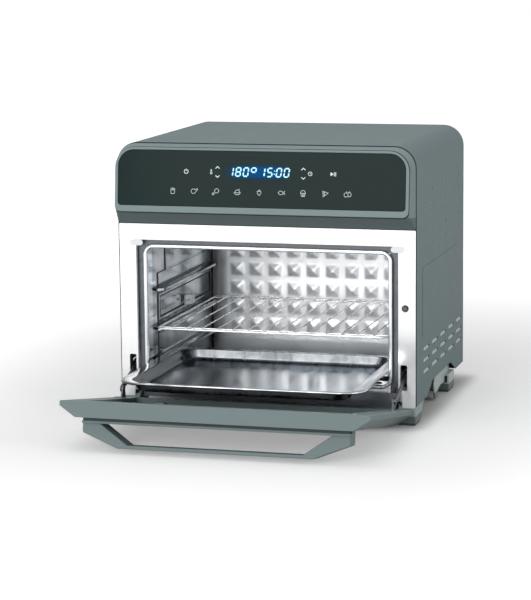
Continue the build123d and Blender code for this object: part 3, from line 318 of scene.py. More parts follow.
def broken_edges(node, material, edge=0.0004, press=None):
    """Copy of a CAD node with merged faces, broken edges and smooth curves. A press moves
    its points first."""
    sharp = 38
    shape = bmesh.new()
    shape.from_mesh(frame["nodes"][node].data)
    bmesh.ops.remove_doubles(shape, verts=shape.verts, dist=2e-6)
    bmesh.ops.dissolve_limit(
        shape, angle_limit=radians(0.5), verts=shape.verts, edges=shape.edges
    )
    for vert in shape.verts if press else ():
        vert.co = press(vert.co)
    mesh = smooth_mesh(node + "_draft", shape, sharp)
    mesh.materials.append(material)
    draft = in_scene(node + "_draft", mesh)
    if edge:
        bevel = draft.modifiers.new("edges", "BEVEL")
        bevel.width = edge
        bevel.segments = 2
        bevel.limit_method = "ANGLE"
        bevel.angle_limit = radians(sharp)
    weighted = draft.modifiers.new("normals", "WEIGHTED_NORMAL")
    weighted.keep_sharp = True
    evaluated = draft.evaluated_get(bpy.context.evaluated_depsgraph_get())
    final = bpy.data.meshes.new_from_object(evaluated)
    final.name = node + "_finished"
    bpy.data.objects.remove(draft)
    settle(in_scene(node + "_finished", final), node)


def powder_coat(name, colour, grain=900.0, roughness=0.5, shade_lines=None):
    """Sprayed and baked paint: a faint orange peel and slight drift of its colour. An optional mask
    paints shade into the colour: it gives how dark the paint is made at each place, for shade in
    gaps and under edges."""
    coat = Finish(name)
    drift = coat.between(coat.noise(7, 2), 0.2, 0.8, 0.0, 1.0)
    paler = tuple(c * 1.035 for c in colour)
    peel = coat.noise(grain, 2)
    tone = coat.mixed(drift, colour, paler)
    # Painted shade: where the mask says, the paint is made darker for the shade in gaps and under
    # edges
    if shade_lines:
        tone = coat.mixed(shade_lines(coat), tone, tuple(0.12 * c for c in colour))
    return coat.surface(
        Base_Color=tone,
        Roughness=coat.between(coat.noise(60, 2), 0.2, 0.8, roughness - 0.02, roughness + 0.03),
        Normal=coat.bump(peel, 0.00004),
        Specular_IOR_Level=0.05,
    )


cover_low, cover_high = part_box("outer_cover")
panel_pressed = 0.0006
panel_rise = 0.00045
panel_near = 0.00005
# Painted shade: the cover's front edge is darkened between these two depths, for the gap against
# the head and frame
gap_shade_from = cover_low.y + 0.0012
gap_shade_to = cover_low.y + 0.0024


def raised_panel(place):
    """The sides are drawn in a little all over, so that their pressed panels stand out."""
    panel_x = cover_high.x - panel_pressed
    if abs(abs(place.x) - panel_x) < panel_near:
        return Vector((cover_high.x if place.x > 0 else -cover_high.x, place.y, place.z))
    return Vector((place.x * (1 - panel_rise / cover_high.x), place.y, place.z))


def cover_gap_shade(coat):
    """Painted shade: a dark line where the cover meets the head and the front frame, for the shade
    in the gap.
    """
    return coat.between(coat.along("Y"), gap_shade_from, gap_shade_to, 1.0, 0.0)


housing_paint = powder_coat("housing_paint", (0.17, 0.225, 0.234), shade_lines=cover_gap_shade)
broken_edges("outer_cover", housing_paint, 0.0002, press=raised_panel)

# ---- Screws of the cover ---------------------------------------------------------------
# Six zinc-plated pan-head screws with a cross recess hold the cover and the rear panel.
# One head is turned and driven into a bit's shape, then set on the points of a grid.


class Recipe(Nodes):
    """A Geometry Nodes tree in the making, whose inputs are the piece's sizes."""

    def __init__(self, name, sizes):
        super().__init__(bpy.data.node_groups.new(name, "GeometryNodeTree"))
        self.name = name
        self.sizes = sizes
        sockets = self.tree.interface
        sockets.new_socket("Mesh", in_out="OUTPUT", socket_type="NodeSocketGeometry")
        sockets.new_socket("Stock", in_out="INPUT", socket_type="NodeSocketGeometry")
        for label, size in sizes.items():
            kind = "NodeSocketInt" if isinstance(size, int) else "NodeSocketFloat"
            sockets.new_socket(label, in_out="INPUT", socket_type=kind)
        self.entry = self.tree.nodes.new("NodeGroupInput")

    def size(self, label):
        return Wire(self, self.entry.outputs[label])

    def point(self, x=0.0, y=0.0, z=0.0):
        return self.node("ShaderNodeCombineXYZ", {}, (x, y, z))

    def grid(self, width, height, columns, rows):
        return self.node(
            "GeometryNodeMeshGrid",
            {},
            {"Size X": width, "Size Y": height, "Vertices X": columns, "Vertices Y": rows},
        )

    def moved(self, shape, place=(0, 0, 0), turn=(0, 0, 0)):
        return self.node(
            "GeometryNodeTransform",
            {},
            {"Geometry": shape, "Translation": place, "Rotation": turn},
        )

    def line(self, start, end):
        return self.node("GeometryNodeCurvePrimitiveLine", {}, {"Start": start, "End": end})

    def tube(self, path, radius, sides=12):
        """Round bar along a curve."""
        ring = self.node(
            "GeometryNodeCurvePrimitiveCircle", {}, {"Resolution": sides, "Radius": radius}
        )
        return self.node(
            "GeometryNodeCurveToMesh",
            {},
            {"Curve": path, "Profile Curve": ring, "Fill Caps": True},
        )

    def placed(self, points, shape):
        return self.node(
            "GeometryNodeInstanceOnPoints", {}, {"Points": points, "Instance": shape}
        )

    def piece(self, shapes, material, stock=None):
        """Joins the shapes into one plain mesh on an object at the origin."""
        joined = self.node("GeometryNodeJoinGeometry", {}, {"Geometry": shapes})
        whole = self.node("GeometryNodeRealizeInstances", {}, {"Geometry": joined})
        finished = self.node(
            "GeometryNodeSetMaterial", {}, {"Geometry": whole, "Material": material}
        )
        self.node("NodeGroupOutput", {}, {"Mesh": finished})
        made = in_scene(self.name, stock or bpy.data.meshes.new(self.name))
        modifier = made.modifiers.new("recipe", "NODES")
        modifier.node_group = self.tree
        for socket in self.tree.interface.items_tree:
            if socket.in_out == "INPUT" and socket.name in self.sizes:
                modifier[socket.identifier] = self.sizes[socket.name]
        evaluated = made.evaluated_get(bpy.context.evaluated_depsgraph_get())
        mesh = bpy.data.meshes.new_from_object(evaluated)
        made.modifiers.clear()
        made.data = mesh
        mesh.set_sharp_from_angle(angle=radians(40))
        return made


def ring(radius, height, count, phase=0.0):
    """Points round the Z axis, turned by this part of a step."""
    turns = [2 * pi * (i + phase) / count for i in range(count)]
    return [(radius * cos(turn), radius * sin(turn), height) for turn in turns]


def closed_loops(name, loops, sharp=None):
    """Mesh through rings of as many points each, closed at both ends."""
    shape = bmesh.new()
    rings = [[shape.verts.new(point) for point in loop] for loop in loops]
    for low, high in zip(rings, rings[1:]):
        for i in range(len(low)):
            j = (i + 1) % len(low)
            shape.faces.new((low[i], low[j], high[j], high[i]))
    shape.faces.new(rings[0][::-1])
    shape.faces.new(rings[-1])
    bmesh.ops.remove_doubles(shape, verts=shape.verts, dist=1e-6)
    bmesh.ops.recalc_face_normals(shape, faces=shape.faces)
    return smooth_mesh(name, shape, sharp)


def screw_head(radius, height):
    """Domed head, facing +Z, with a cross-shaped recess."""
    wide = 0.17 * radius
    long = 0.62 * radius
    arm = ((wide, -wide), (long, -wide), (long, 0), (long, wide), (wide, wide), (wide, wide))
    cross = []
    for quarter in range(4):
        turn = Matrix.Rotation(quarter * pi / 2, 3, "Z")
        cross += [turn @ Vector((x, y, 0)) for x, y in arm]
    dome = ((1.0, 0.0), (1.0, 0.35), (0.94, 0.66), (0.8, 0.88))
    loops = [ring(radius * out, height * up, len(cross), -3.5) for out, up in dome]
    loops.append([(point.x, point.y, height) for point in cross])
    loops.append([(0.7 * point.x, 0.7 * point.y, 0.25 * height) for point in cross])
    return closed_loops("screw_head", loops)


plated = Finish("plated_steel")
plating = plated.noise(400, 3)
plated_finish = plated.surface(
    Base_Color=plated.mixed(plating, (0.5, 0.51, 0.5), (0.66, 0.67, 0.66)),
    Metallic=1.0,
    Roughness=plated.between(plating, 0.3, 0.7, 0.25, 0.4),
)
screws_low, screws_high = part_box("case_screws")
screw_radius = 0.0038
screw_rise = screws_high.y - screws_low.y
case_screws = Recipe(
    "cover_screws",
    {
        "Columns": 2,
        "Rows": 3,
        "Width": screws_high.x - screws_low.x - 2 * screw_radius,
        "Height": screws_high.z - screws_low.z - 2 * screw_radius,
    },
)
screw_grid = case_screws.grid(
    case_screws.size("Width"),
    case_screws.size("Height"),
    case_screws.size("Columns"),
    case_screws.size("Rows"),
)
screw_middle = (
    (screws_low.x + screws_high.x) / 2,
    screws_low.y,
    (screws_low.z + screws_high.z) / 2,
)
screw_shapes = case_screws.moved(
    case_screws.placed(screw_grid, case_screws.size("Stock")),
    screw_middle,
    (-pi / 2, 0, 0),
)
screws_piece = case_screws.piece(
    screw_shapes, plated_finish, screw_head(screw_radius, screw_rise)
)
settle(screws_piece, "case_screws")

# ---- Louvres and hole guards of the cover ----------------------------------------------
# Behind each slot of the cover a pale strip leans inwards and up and turns the air. A dished disc
# of the same pale colour guards each round hole, so that the holes read light as the slots do.

louvre_steel = Finish("louvre_steel")
louvre_grain = louvre_steel.noise(500, 2)
# The strips and discs are pale so that the slots and holes read light
louvre_finish = louvre_steel.surface(
    Base_Color=louvre_steel.mixed(louvre_grain, (0.5, 0.6, 0.6), (0.6, 0.7, 0.7)),
    Roughness=louvre_steel.between(louvre_grain, 0.3, 0.7, 0.5, 0.65),
)
louvre_length = 0.0352
louvre_height = 0.0056
louvre_start = 0.0010
louvre_deep = 0.0026
louvre_sheet = 0.0005
louvre_line = [
    (louvre_height * (i / 6 - 0.5), -louvre_start - louvre_deep * (i / 6) ** 1.6)
    for i in range(7)
]
louvre_ring = louvre_line + [(up, out - louvre_sheet) for up, out in reversed(louvre_line)]
louvre_ends = (-louvre_length / 2, louvre_length / 2)
louvre_strip = closed_loops(
    "louvre_strip", [[(x, *point) for point in louvre_ring] for x in louvre_ends]
)
guard_line = (
    (0.0008, -0.0019),
    (0.003, -0.0016),
    (0.003, -0.0010),
    (0.0018, -0.0011),
    (0.0006, -0.0014),
)
guard_disc = closed_loops(
    "guard_disc", [ring(radius, out, 16) for radius, out in guard_line]
)
slots_place = (cover_high.y - 0.136, cover_low.z + 0.0488)
holes_place = (cover_high.y - 0.123, cover_high.z - 0.0944)
slots_sizes = {"Columns": 5, "Rows": 3, "Pitch": 0.0525, "Rise": 0.0143}
holes_sizes = {"Columns": 3, "Rows": 5, "Pitch": 0.086, "Rise": 0.0168}
for vent_name, stock, vent_place, sizes in (
    ("louvres", louvre_strip, slots_place, slots_sizes),
    ("hole_guards", guard_disc, holes_place, holes_sizes),
):
    vents = Recipe(vent_name, sizes)
    vent_grid = vents.grid(
        (vents.size("Columns") - 1.0) * vents.size("Pitch"),
        (vents.size("Rows") - 1.0) * vents.size("Rise"),
        vents.size("Columns"),
        vents.size("Rows"),
    )
    both_sides = [
        vents.moved(
            vents.placed(vent_grid, vents.size("Stock")),
            (hand * cover_high.x, *vent_place),
            (pi / 2, 0, hand * pi / 2),
        )
        for hand in (1, -1)
    ]
    vent_piece = vents.piece(both_sides, louvre_finish, stock)
    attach(vent_piece, body_of["outer_cover"])

# ---- Base pan, rear panel, bulkhead and fan duct ---------------------------------------
# Galvanised sheets, punched, folded and screwed together inside and under the cover. The
# crystals of the zinc show as a spangle.

zinc = Finish("zinc_sheet")
crystals = zinc.node(
    "ShaderNodeTexVoronoi",
    {"feature": "F1"},
    {"Vector": zinc.place(), "Scale": 140.0, "Randomness": 1.0},
    out="Color",
)
spangle = zinc.node("ShaderNodeSeparateColor", {}, {"Color": crystals})
zinc_finish = zinc.surface(
    Base_Color=zinc.mixed(spangle, (0.1, 0.108, 0.122), (0.14, 0.148, 0.162)),
    Metallic=0.6,
    Roughness=zinc.between(spangle, 0, 1, 0.38, 0.5),
)
for sheet_node in ("base_pan", "rear_panel", "bulkhead", "fan_duct"):
    broken_edges(sheet_node, zinc_finish, 0.0002)

# ---- Feet ------------------------------------------------------------------------------
# Four moulded feet of textured grey plastic on soft pads, their lowest band painted darker as the
# shade near the floor. The rear ones carry a thin wing that closes the arch in the cover's side.

shade_band_top = 0.0118


def moulded_plastic(name, colour):
    """Sand-blasted plastic, painted darker near the floor as shade."""
    moulded = Finish(name)
    sand = moulded.noise(1500, 2)
    paler = tuple(1.14 * c for c in colour)
    return moulded.surface(
        Base_Color=moulded.mixed(
            # Painted shade near the floor: darker below the band's top
            moulded.between(moulded.along("Z"), shade_band_top - 0.0006, shade_band_top, 0.0, 1.0),
            (0.125, 0.158, 0.155),
            moulded.mixed(moulded.noise(30, 3), colour, paler),
        ),
        Roughness=moulded.between(sand, 0.3, 0.7, 0.5, 0.62),
        Normal=moulded.bump(sand, 0.00005),
    )


front_plastic = moulded_plastic("foot_plastic", (0.31, 0.37, 0.36))
# The rear feet take a paler copy of the same plastic: painted light on their lit side wings
rear_plastic_lit = moulded_plastic("rear_foot_plastic", (0.46, 0.53, 0.52))
for foot_node, plastic in (
    ("front_left_foot", front_plastic),
    ("front_right_foot", front_plastic),
    ("rear_left_foot", rear_plastic_lit),
    ("rear_right_foot", rear_plastic_lit),
):
    broken_edges(foot_node, plastic, 0.0006)

pad_rubber = Finish("pad_rubber")
pad_grain = pad_rubber.noise(2200, 2)
pad_finish = pad_rubber.surface(
    Base_Color=pad_rubber.mixed(pad_grain, (0.05, 0.065, 0.062), (0.075, 0.09, 0.088)),
    Roughness=pad_rubber.between(pad_grain, 0.3, 0.7, 0.7, 0.85),
    Normal=pad_rubber.bump(pad_grain, 0.00004),
)
broken_edges("foot_pads", pad_finish, 0.0004)

# ---- Front frame and rolled lip --------------------------------------------------------
# A polished stainless pressing, cut out for the mouth, the stay arms and the door switch.
# A rolled lip of the same steel ends the cavity behind a shallow channel. The strip over the door's
# hinge is painted dark grey blue: a painted reflection of the dark parts in front of it.

sill_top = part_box("cavity_rim")[0].z
sill_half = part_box("hinge_brackets")[1].x
polished = Finish("polished_steel")
haze = polished.noise(25, 4, (1, 1, 0.25))
frame_up = polished.along("Z")
frame_off = abs(polished.along("X"))
# Painted reflection: the strip over the hinge is darkened, with more metal, where the polished
# steel mirrors dark parts
under_sill = polished.between(frame_up, sill_top - 0.0015, sill_top + 0.0005, 1.0, 0.0)
within_sill = polished.between(frame_off, sill_half - 0.003, sill_half + 0.003, 1.0, 0.0)
sill_reflection = under_sill * within_sill
# The frame is mostly a diffuse near-white, with less metal towards the bottom: a painted reflection
# of the bright studio in the polished steel
frame_finish = polished.surface(
    Base_Color=polished.mixed(
        sill_reflection,
        polished.mixed(haze, (0.92, 0.93, 0.94), (0.96, 0.965, 0.97)),
        polished.mixed(haze, (0.24, 0.255, 0.29), (0.3, 0.315, 0.35)),
    ),
    Metallic=0.6 * sill_reflection + polished.between(frame_up, 0.035, 0.065, 0.1, 0.45),
    Roughness=polished.between(haze, 0.3, 0.7, 0.12, 0.2),
    Normal=polished.bump(polished.noise(900, 2, (1, 1, 0.02)), 0.000004),
)
broken_edges("front_frame", frame_finish, 0.0003)

lip = Finish("lip_steel")
lip_haze = lip.noise(40, 3)
rim_finish = lip.surface(
    Base_Color=lip.mixed(lip_haze, (0.66, 0.68, 0.7), (0.76, 0.78, 0.8)),
    Metallic=0.95,
    Roughness=lip.between(lip_haze, 0.3, 0.7, 0.16, 0.24),
)
broken_edges("cavity_rim", rim_finish, 0)

# ---- Cavity side walls -----------------------------------------------------------------
# Two bright annealed sheets, pressed in one stroke: three shelf rails with flat tops, a
# framed field between them, a stepped edge behind the mouth and a slot under the ceiling.


def annealed(name, dark, bright, roughness, wave, front=None, metal=1.0):
    """Bright annealed sheet with waves and haze. Pressed ones are paler in front, a painted light
    near the mouth, and dark where the mesh's attribute says so: painted shade in the pressed steps
    and along the rails."""
    steel = Finish(name)
    cloud = steel.between(steel.noise(20, 2), 0.3, 0.7, 0.0, 1.0)
    waves = steel.noise(22, 2, (1, 0.35, 1))
    tone = steel.mixed(cloud, dark, bright)
    if front:
        # Painted light: paler near the mouth, where more light reaches the wall
        behind = steel.between(steel.along("Y"), front, front + 0.006, 0.0, 1.0)
        paler = tuple(min(1.0, 1.6 * c) for c in bright)
        tone = steel.mixed(behind, paler, tone)
        # Painted shade from the mesh's attribute: dark, duller and less metal at the pressed steps
        # and rail edges
        press_shade = steel.node("ShaderNodeAttribute", {"attribute_name": "press_shade"}, {}, out="Fac")
        tone = steel.mixed(press_shade, tone, (0.03, 0.034, 0.038))
    gloss = steel.between(cloud, 0.25, 0.75, roughness - 0.03, roughness + 0.04)
    if front:
        gloss = gloss + 0.6 * press_shade
    return steel.surface(
        Base_Color=tone,
        Metallic=metal - press_shade if front else metal,
        Roughness=gloss,
        Normal=steel.bump(waves, wave),
    )


front_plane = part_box("front_frame")[0].y
rack_low, rack_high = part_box("wire_rack")
wall_low, wall_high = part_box("cavity_left_wall")
wall_sheet = 0.0008
rail_out = 0.0095
rail_drop = 0.0090
rail_tops = (0.0624, 0.1025, 0.1530)
rail_from = 0.040
rail_to = 0.282
step_deep = 0.0012
step_low = (0.046, 0.171)
step_high = 0.077
slot_span = (0.097, 0.252)
slot_rise = (0.1695, 0.1725)
field_span = (0.061, 0.276)
field_rise = (0.113, 0.139)
field_deep = 0.0013
press_soft = 0.0012
# Widths of the painted shade about the pressed steps
shade_before = 0.0030
shade_after = 0.0085
shade_soft = 0.0008


def ramp(value, start, end):
    """Smooth step from 0 at start to 1 at end."""
    part = min(1.0, max(0.0, (value - start) / (end - start)))
    return part * part * (3 - 2 * part)


def inside(value, span, soft):
    """1 within the span and 0 beyond it, with soft ends inside the span."""
    return ramp(value, span[0], span[0] + soft) * (1 - ramp(value, span[1] - soft, span[1]))


def wall_relief(back, up):
    """How far the wall stands into the cavity, at a place behind the front plane."""
    edge = step_low[0] if up < step_low[1] else step_high
    relief = -step_deep * ramp(back, edge, edge + 0.002)
    relief -= step_deep * inside(back, slot_span, 0.001) * inside(up, slot_rise, 0.0006)
    field = inside(back, field_span, press_soft) * inside(up, field_rise, press_soft)
    relief -= field_deep * field
    for top in rail_tops:
        ends = inside(back, (rail_from, rail_to), 0.012)
        under = ramp(up, top - rail_drop, top - 0.45 * rail_drop)
        over = 1 - ramp(up, top - 0.0009, top + 0.0002)
        relief += (rail_out - relief) * ends * min(under, over)
    return relief


def wall_press_shade(back, up):
    """How dark the sheet is painted, as painted shade: 1 in the pressed corners and along the rails
    and the field's frame, and 0 elsewhere.
    """
    edge = step_low[0] if up < step_low[1] else step_high
    dark = inside(back, (edge - shade_before, edge + shade_after), shade_soft)
    shelf = inside(back, (step_low[0] - shade_before, step_high + shade_after), shade_soft)
    dark = max(dark, shelf * inside(up, (step_low[1] - 0.0014, step_low[1] + 0.0014), 0.0006))
    for top in rail_tops:
        crest = inside(up, (top - rail_drop + 0.0012, top + 0.0002), shade_soft)
        dark *= 1 - crest * inside(back, (rail_from, rail_to), 0.004)
    for top in rail_tops:
        along = inside(back, (rail_from + 0.007, rail_to), 0.006)
        for low in (top - rail_drop - 0.0014, top + 0.0002):
            dark = max(dark, along * inside(up, (low, low + 0.0024), 0.0007))
    wide = inside(back, (field_span[0] - 0.003, field_span[1] + 0.003), shade_soft)
    tall = inside(up, (field_rise[0] - 0.001, field_rise[1] + 0.001), 0.0004)
    core_wide = inside(back, (field_span[0] + 0.001, field_span[1] - 0.001), shade_soft)
    core_tall = inside(up, (field_rise[0] + 0.001, field_rise[1] - 0.001), 0.0004)
    return max(dark, wide * tall * (1 - core_wide * core_tall))


def stations(low, high, pitch, marks):
    """Even stations between two ends, with close ones about each mark."""
    count = round((high - low) / pitch)
    even = [low + (high - low) * i / count for i in range(count + 1)]
    offsets = (-0.0014, -0.0007, 0.0, 0.0006, 0.0012, 0.002, 0.0028)
    close = [mark + offset for mark in marks for offset in offsets]
    places = sorted(even + [c for c in close if low < c < high])
    kept = [places[0]]
    for place in places[1:]:
        if place - kept[-1] > 0.0003:
            kept.append(place)
    kept[-1] = high
    return kept


def relief_mesh(name, across, ups, spot):
    """Sheet through spot(a, u) for every pair of stations."""
    wide = len(across)
    verts = [spot(a, u) for u in ups for a in across]
    faces = [
        (r * wide + c, r * wide + c + 1, (r + 1) * wide + c + 1, (r + 1) * wide + c)
        for r in range(len(ups) - 1)
        for c in range(wide - 1)
    ]
    mesh = bpy.data.meshes.new(name)
    mesh.from_pydata(verts, [], faces)
    return mesh


def thick_sheet(mesh, thickness, smooth):
    """Object with the sheet's thickness behind its drawn face."""
    for face in mesh.polygons:
        face.use_smooth = True
    mesh.set_sharp_from_angle(angle=radians(smooth))
    made = in_scene(mesh.name, mesh)
    wall = made.modifiers.new("wall", "SOLIDIFY")
    wall.thickness = thickness
    wall.offset = -1
    return made


liner_finish = annealed(
    "liner_steel", (0.27, 0.295, 0.32), (0.54, 0.58, 0.61), 0.08, 0.0001, front_plane + 0.024
)
# Where the relief and the painted shade bend, behind the front plane and up
wall_marks_y = (0.0435, 0.0465, 0.0535, 0.0745, 0.0770, 0.0845, 0.0965, 0.2515, 0.0595, 0.2765)
wall_marks_z = [mark for top in rail_tops for mark in (top - 0.0095, top - 0.0055, top - 0.0005)]
wall_marks_z += [0.1693, 0.1715, 0.1125, 0.1375]
for side_name, hand in (("cavity_left_wall", -1), ("cavity_right_wall", 1)):
    face_x = hand * (abs(wall_low.x) - wall_sheet)
    backs = stations(wall_low.y - front_plane, wall_high.y - front_plane, 0.006, wall_marks_y)
    ups = stations(wall_low.z, wall_high.z, 0.005, wall_marks_z)
    sheet = relief_mesh(
        side_name + "_pressed",
        backs if hand < 0 else backs[::-1],
        ups,
        lambda a, u: (face_x - hand * wall_relief(a, u), front_plane + a, u),
    )
    sheet.materials.append(liner_finish)
    # Painted shade at the pressed steps, kept on the sheet's points for its material
    press_shade = sheet.attributes.new("press_shade", "FLOAT", "POINT")
    press_shade.data.foreach_set(
        "value", [wall_press_shade(vert.co.y - front_plane, vert.co.z) for vert in sheet.vertices]
    )
    settle(thick_sheet(sheet, wall_sheet, 28), side_name)

# ---- Ceiling, floor and fan guard of the cavity ----------------------------------------
# The same annealed steel closes the cavity above and below. The guard lies in the ceiling,
# punched with two rings of slots under the fan.

lid_finish = annealed("lid_steel", (0.74, 0.77, 0.79), (0.86, 0.89, 0.91), 0.2, 0.0002, metal=0.75)
for liner_node in ("cavity_ceiling", "cavity_floor", "fan_guard"):
    broken_edges(liner_node, lid_finish, 0.0004)

# ---- Back wall of the cavity -----------------------------------------------------------
# A bright sheet pressed all over with rows of blunt four-sided pyramids towards the food.
# The height follows from the distance to the nearest pyramid's middle.

back_low, back_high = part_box("cavity_back")
pyramids = Recipe(
    "pressed_back",
    {
        "Columns": 10,
        "Rows": 6,
        "Cuts": 14,
        "Pitch across": 0.0268,
        "Pitch up": 0.0255,
        "Lowest row": 0.0665,
        "Pyramid": 0.66,
        "Depth": 0.0027,
        "Half width": back_high.x,
        "Low edge": back_low.z,
        "High edge": back_high.z,
        "Plane": back_high.y - wall_sheet,
    },
)


def cell_count(count):
    """Vertices of a grid that covers the cells, with one more cell at each end."""
    return count * pyramids.size("Cuts") + 3.0


columns = pyramids.size("Columns")
rows = pyramids.size("Rows")
grid = pyramids.grid(
    cell_count(columns) - 1.0, cell_count(rows) - 1.0, cell_count(columns), cell_count(rows)
)
grid_place = pyramids.node("GeometryNodeInputPosition")
grid_x = pyramids.node("ShaderNodeSeparateXYZ", {}, [grid_place], out="X")
grid_y = pyramids.node("ShaderNodeSeparateXYZ", {}, [grid_place], out="Y")


def in_cells(place, count):
    """Place in whole cells, its distance from a cell's middle, and whether it is inside."""
    cells = place / pyramids.size("Cuts")
    off = 0.5 - cells.maths("PINGPONG", 0.5)
    within = abs(cells).maths("LESS_THAN", 0.5001 * count)
    return cells, off, within


def chosen(switch, value, otherwise):
    return pyramids.node(
        "GeometryNodeSwitch",
        {"input_type": "FLOAT"},
        {"Switch": switch, "True": value, "False": otherwise},
    )


cells_x, off_x, within_x = in_cells(grid_x, columns)
cells_z, off_z, within_z = in_cells(grid_y, rows)
reach = off_x.maths("SMOOTH_MAX", off_z, 0.03) / (0.5 * pyramids.size("Pyramid"))
steep = (1.05 - reach).maths("SMOOTH_MAX", 0.0, 0.15)
blunt = steep.maths("SMOOTH_MIN", 0.95, 0.1)
rise = blunt * pyramids.size("Depth") * (within_x * within_z)
rows_middle = pyramids.size("Lowest row") + 0.5 * (rows - 1.0) * pyramids.size("Pitch up")
edge_x = grid_x.maths("SIGN") * pyramids.size("Half width")
edge_z = chosen(
    grid_y.maths("GREATER_THAN", 0.0), pyramids.size("High edge"), pyramids.size("Low edge")
)
sheet_x = chosen(within_x, cells_x * pyramids.size("Pitch across"), edge_x)
sheet_z = chosen(within_z, rows_middle + cells_z * pyramids.size("Pitch up"), edge_z)
pressed = pyramids.node(
    "GeometryNodeSetPosition",
    {},
    {"Geometry": grid, "Position": pyramids.point(sheet_x, pyramids.size("Plane") - rise, sheet_z)},
)
back_finish = annealed(
    "back_steel", (0.94, 0.955, 0.965), (0.98, 0.985, 0.99), 0.4, 0.00008, metal=0.6
)
back_piece = pyramids.piece([pressed], back_finish)
back_mesh = back_piece.data
bpy.data.objects.remove(back_piece)
back_mesh.name = "pressed_back"
settle(thick_sheet(back_mesh, wall_sheet, 180), "cavity_back")

# ---- Heaters, their clips and the probe ------------------------------------------------
# Two straight tubular heaters over the floor and a ring round the fan, sheathed in steel
# that heat has oxidised. Their clips, the probe and the fan's shaft are plain drawn steel,
# and the clip that holds the probe is tinned.

oxide = Finish("heater_steel")
burnt = oxide.noise(40, 4)
heater_finish = oxide.surface(
    Base_Color=oxide.mixed(burnt, (0.24, 0.22, 0.2), (0.36, 0.35, 0.34)),
    Metallic=0.8,
    Roughness=oxide.between(burnt, 0.3, 0.7, 0.35, 0.55),
)
for heater_node in ("lower_heaters", "ring_heater"):
    broken_edges(heater_node, heater_finish, 0)

plain_steel = Finish("plain_steel")
drawn = plain_steel.noise(300, 3, (1, 0.2, 1))
steel_finish = plain_steel.surface(
    Base_Color=plain_steel.mixed(drawn, (0.5, 0.51, 0.52), (0.66, 0.67, 0.68)),
    Metallic=1.0,
    Roughness=plain_steel.between(drawn, 0.3, 0.7, 0.25, 0.4),
)
for steel_node in ("heater_clips", "probe", "motor_shaft"):
    broken_edges(steel_node, steel_finish, 0.0002)

tin = Finish("tinned_clip")
tin_haze = tin.noise(150, 2)
tin_finish = tin.surface(
    Base_Color=tin.mixed(tin_haze, (0.88, 0.9, 0.91), (0.95, 0.96, 0.97)),
    Metallic=0.25,
    Roughness=tin.between(tin_haze, 0.3, 0.7, 0.25, 0.35),
)
broken_edges("probe_clip", tin_finish, 0.0002)

# ---- Door hinges, stay arms and door switch --------------------------------------------
# Stamped brackets, pins, lugs, rivets and hooked arms, all blackened against rust. The
# switch's ball end, the clips of the panes and the handle's screws are of the same steel.

blackened = Finish("blackened_steel")
oil = blackened.noise(200, 3)
blackened_finish = blackened.surface(
    Base_Color=blackened.mixed(oil, (0.08, 0.09, 0.095), (0.14, 0.15, 0.155)),
    Metallic=0.9,
    Roughness=blackened.between(oil, 0.3, 0.7, 0.32, 0.45),
)
for dark_node in (
    "pane_clips",
    "handle_screws",
    "hinge_brackets",
    "hinge_pins",
    "arm_lugs",
    "arm_rivets",
    "stay_arm_left",
    "stay_arm_right",
    "switch_plunger",
):
    broken_edges(dark_node, blackened_finish, 0.0002)

# ---- Heater insulators -----------------------------------------------------------------
# Bushes of fired white clay on the ends of the heaters. They sit outside the cavity's
# walls, where the leads are joined on.

fired_clay = Finish("ceramic")
fired = fired_clay.noise(600, 3)
clay_finish = fired_clay.surface(
    Base_Color=fired_clay.mixed(fired, (0.7, 0.66, 0.58), (0.8, 0.77, 0.7)),
    Roughness=fired_clay.between(fired, 0.3, 0.7, 0.5, 0.7),
    Normal=fired_clay.bump(fired, 0.00003),
)
broken_edges("heater_insulators", clay_finish, 0.0003)

# ---- Fan unit and electronics ----------------------------------------------------------
# Stamped fan wheels on a motor with a cast housing, two green circuit boards with copper
# tracks, and small mouldings of black plastic: display, switch body and cord gland.

fan_metal = Finish("fan_metal")
spun = fan_metal.noise(500, 2, (1, 1, 0.1))
fan_finish = fan_metal.surface(
    Base_Color=fan_metal.mixed(spun, (0.55, 0.56, 0.57), (0.68, 0.69, 0.7)),
    Metallic=1.0,
    Roughness=fan_metal.between(spun, 0.3, 0.7, 0.35, 0.48),
)
for fan_node in ("convection_fan", "cooling_fan"):
    broken_edges(fan_node, fan_finish, 0)

cast = Finish("motor_metal")
cast_grain = cast.noise(700, 3)
cast_finish = cast.surface(
    Base_Color=cast.mixed(cast_grain, (0.1, 0.11, 0.11), (0.16, 0.17, 0.17)),
    Metallic=0.7,
    Roughness=cast.between(cast_grain, 0.3, 0.7, 0.45, 0.6),
    Normal=cast.bump(cast_grain, 0.00008),
)
broken_edges("fan_motor", cast_finish, 0.0003)

board = Finish("circuit_board")
tracks = board.node(
    "ShaderNodeTexBrick",
    {"offset": 0.35},
    {
        "Vector": board.place((1, 1, 1), (pi / 2, 0, 0)),
        "Color1": (0.02, 0.11, 0.06),
        "Color2": (0.025, 0.13, 0.07),
        "Mortar": (0.06, 0.26, 0.12),
        "Scale": 90.0,
        "Mortar Size": 0.03,
    },
)
board_finish = board.surface(
    Base_Color=tracks,
    Roughness=board.between(board.noise(80, 2), 0.3, 0.7, 0.3, 0.45),
)
for board_node in ("touch_board", "power_board"):
    broken_edges(board_node, board_finish, 0.0002)

black_resin = Finish("black_plastic")
resin_grain = black_resin.noise(1600, 2)
black_finish = black_resin.surface(
    Base_Color=black_resin.mixed(resin_grain, (0.012, 0.012, 0.013), (0.022, 0.022, 0.023)),
    Roughness=black_resin.between(resin_grain, 0.3, 0.7, 0.42, 0.55),
    Normal=black_resin.bump(resin_grain, 0.00003),
)
for black_node in ("display_module", "switch_body", "cord_gland"):
    broken_edges(black_node, black_finish, 0.0003)

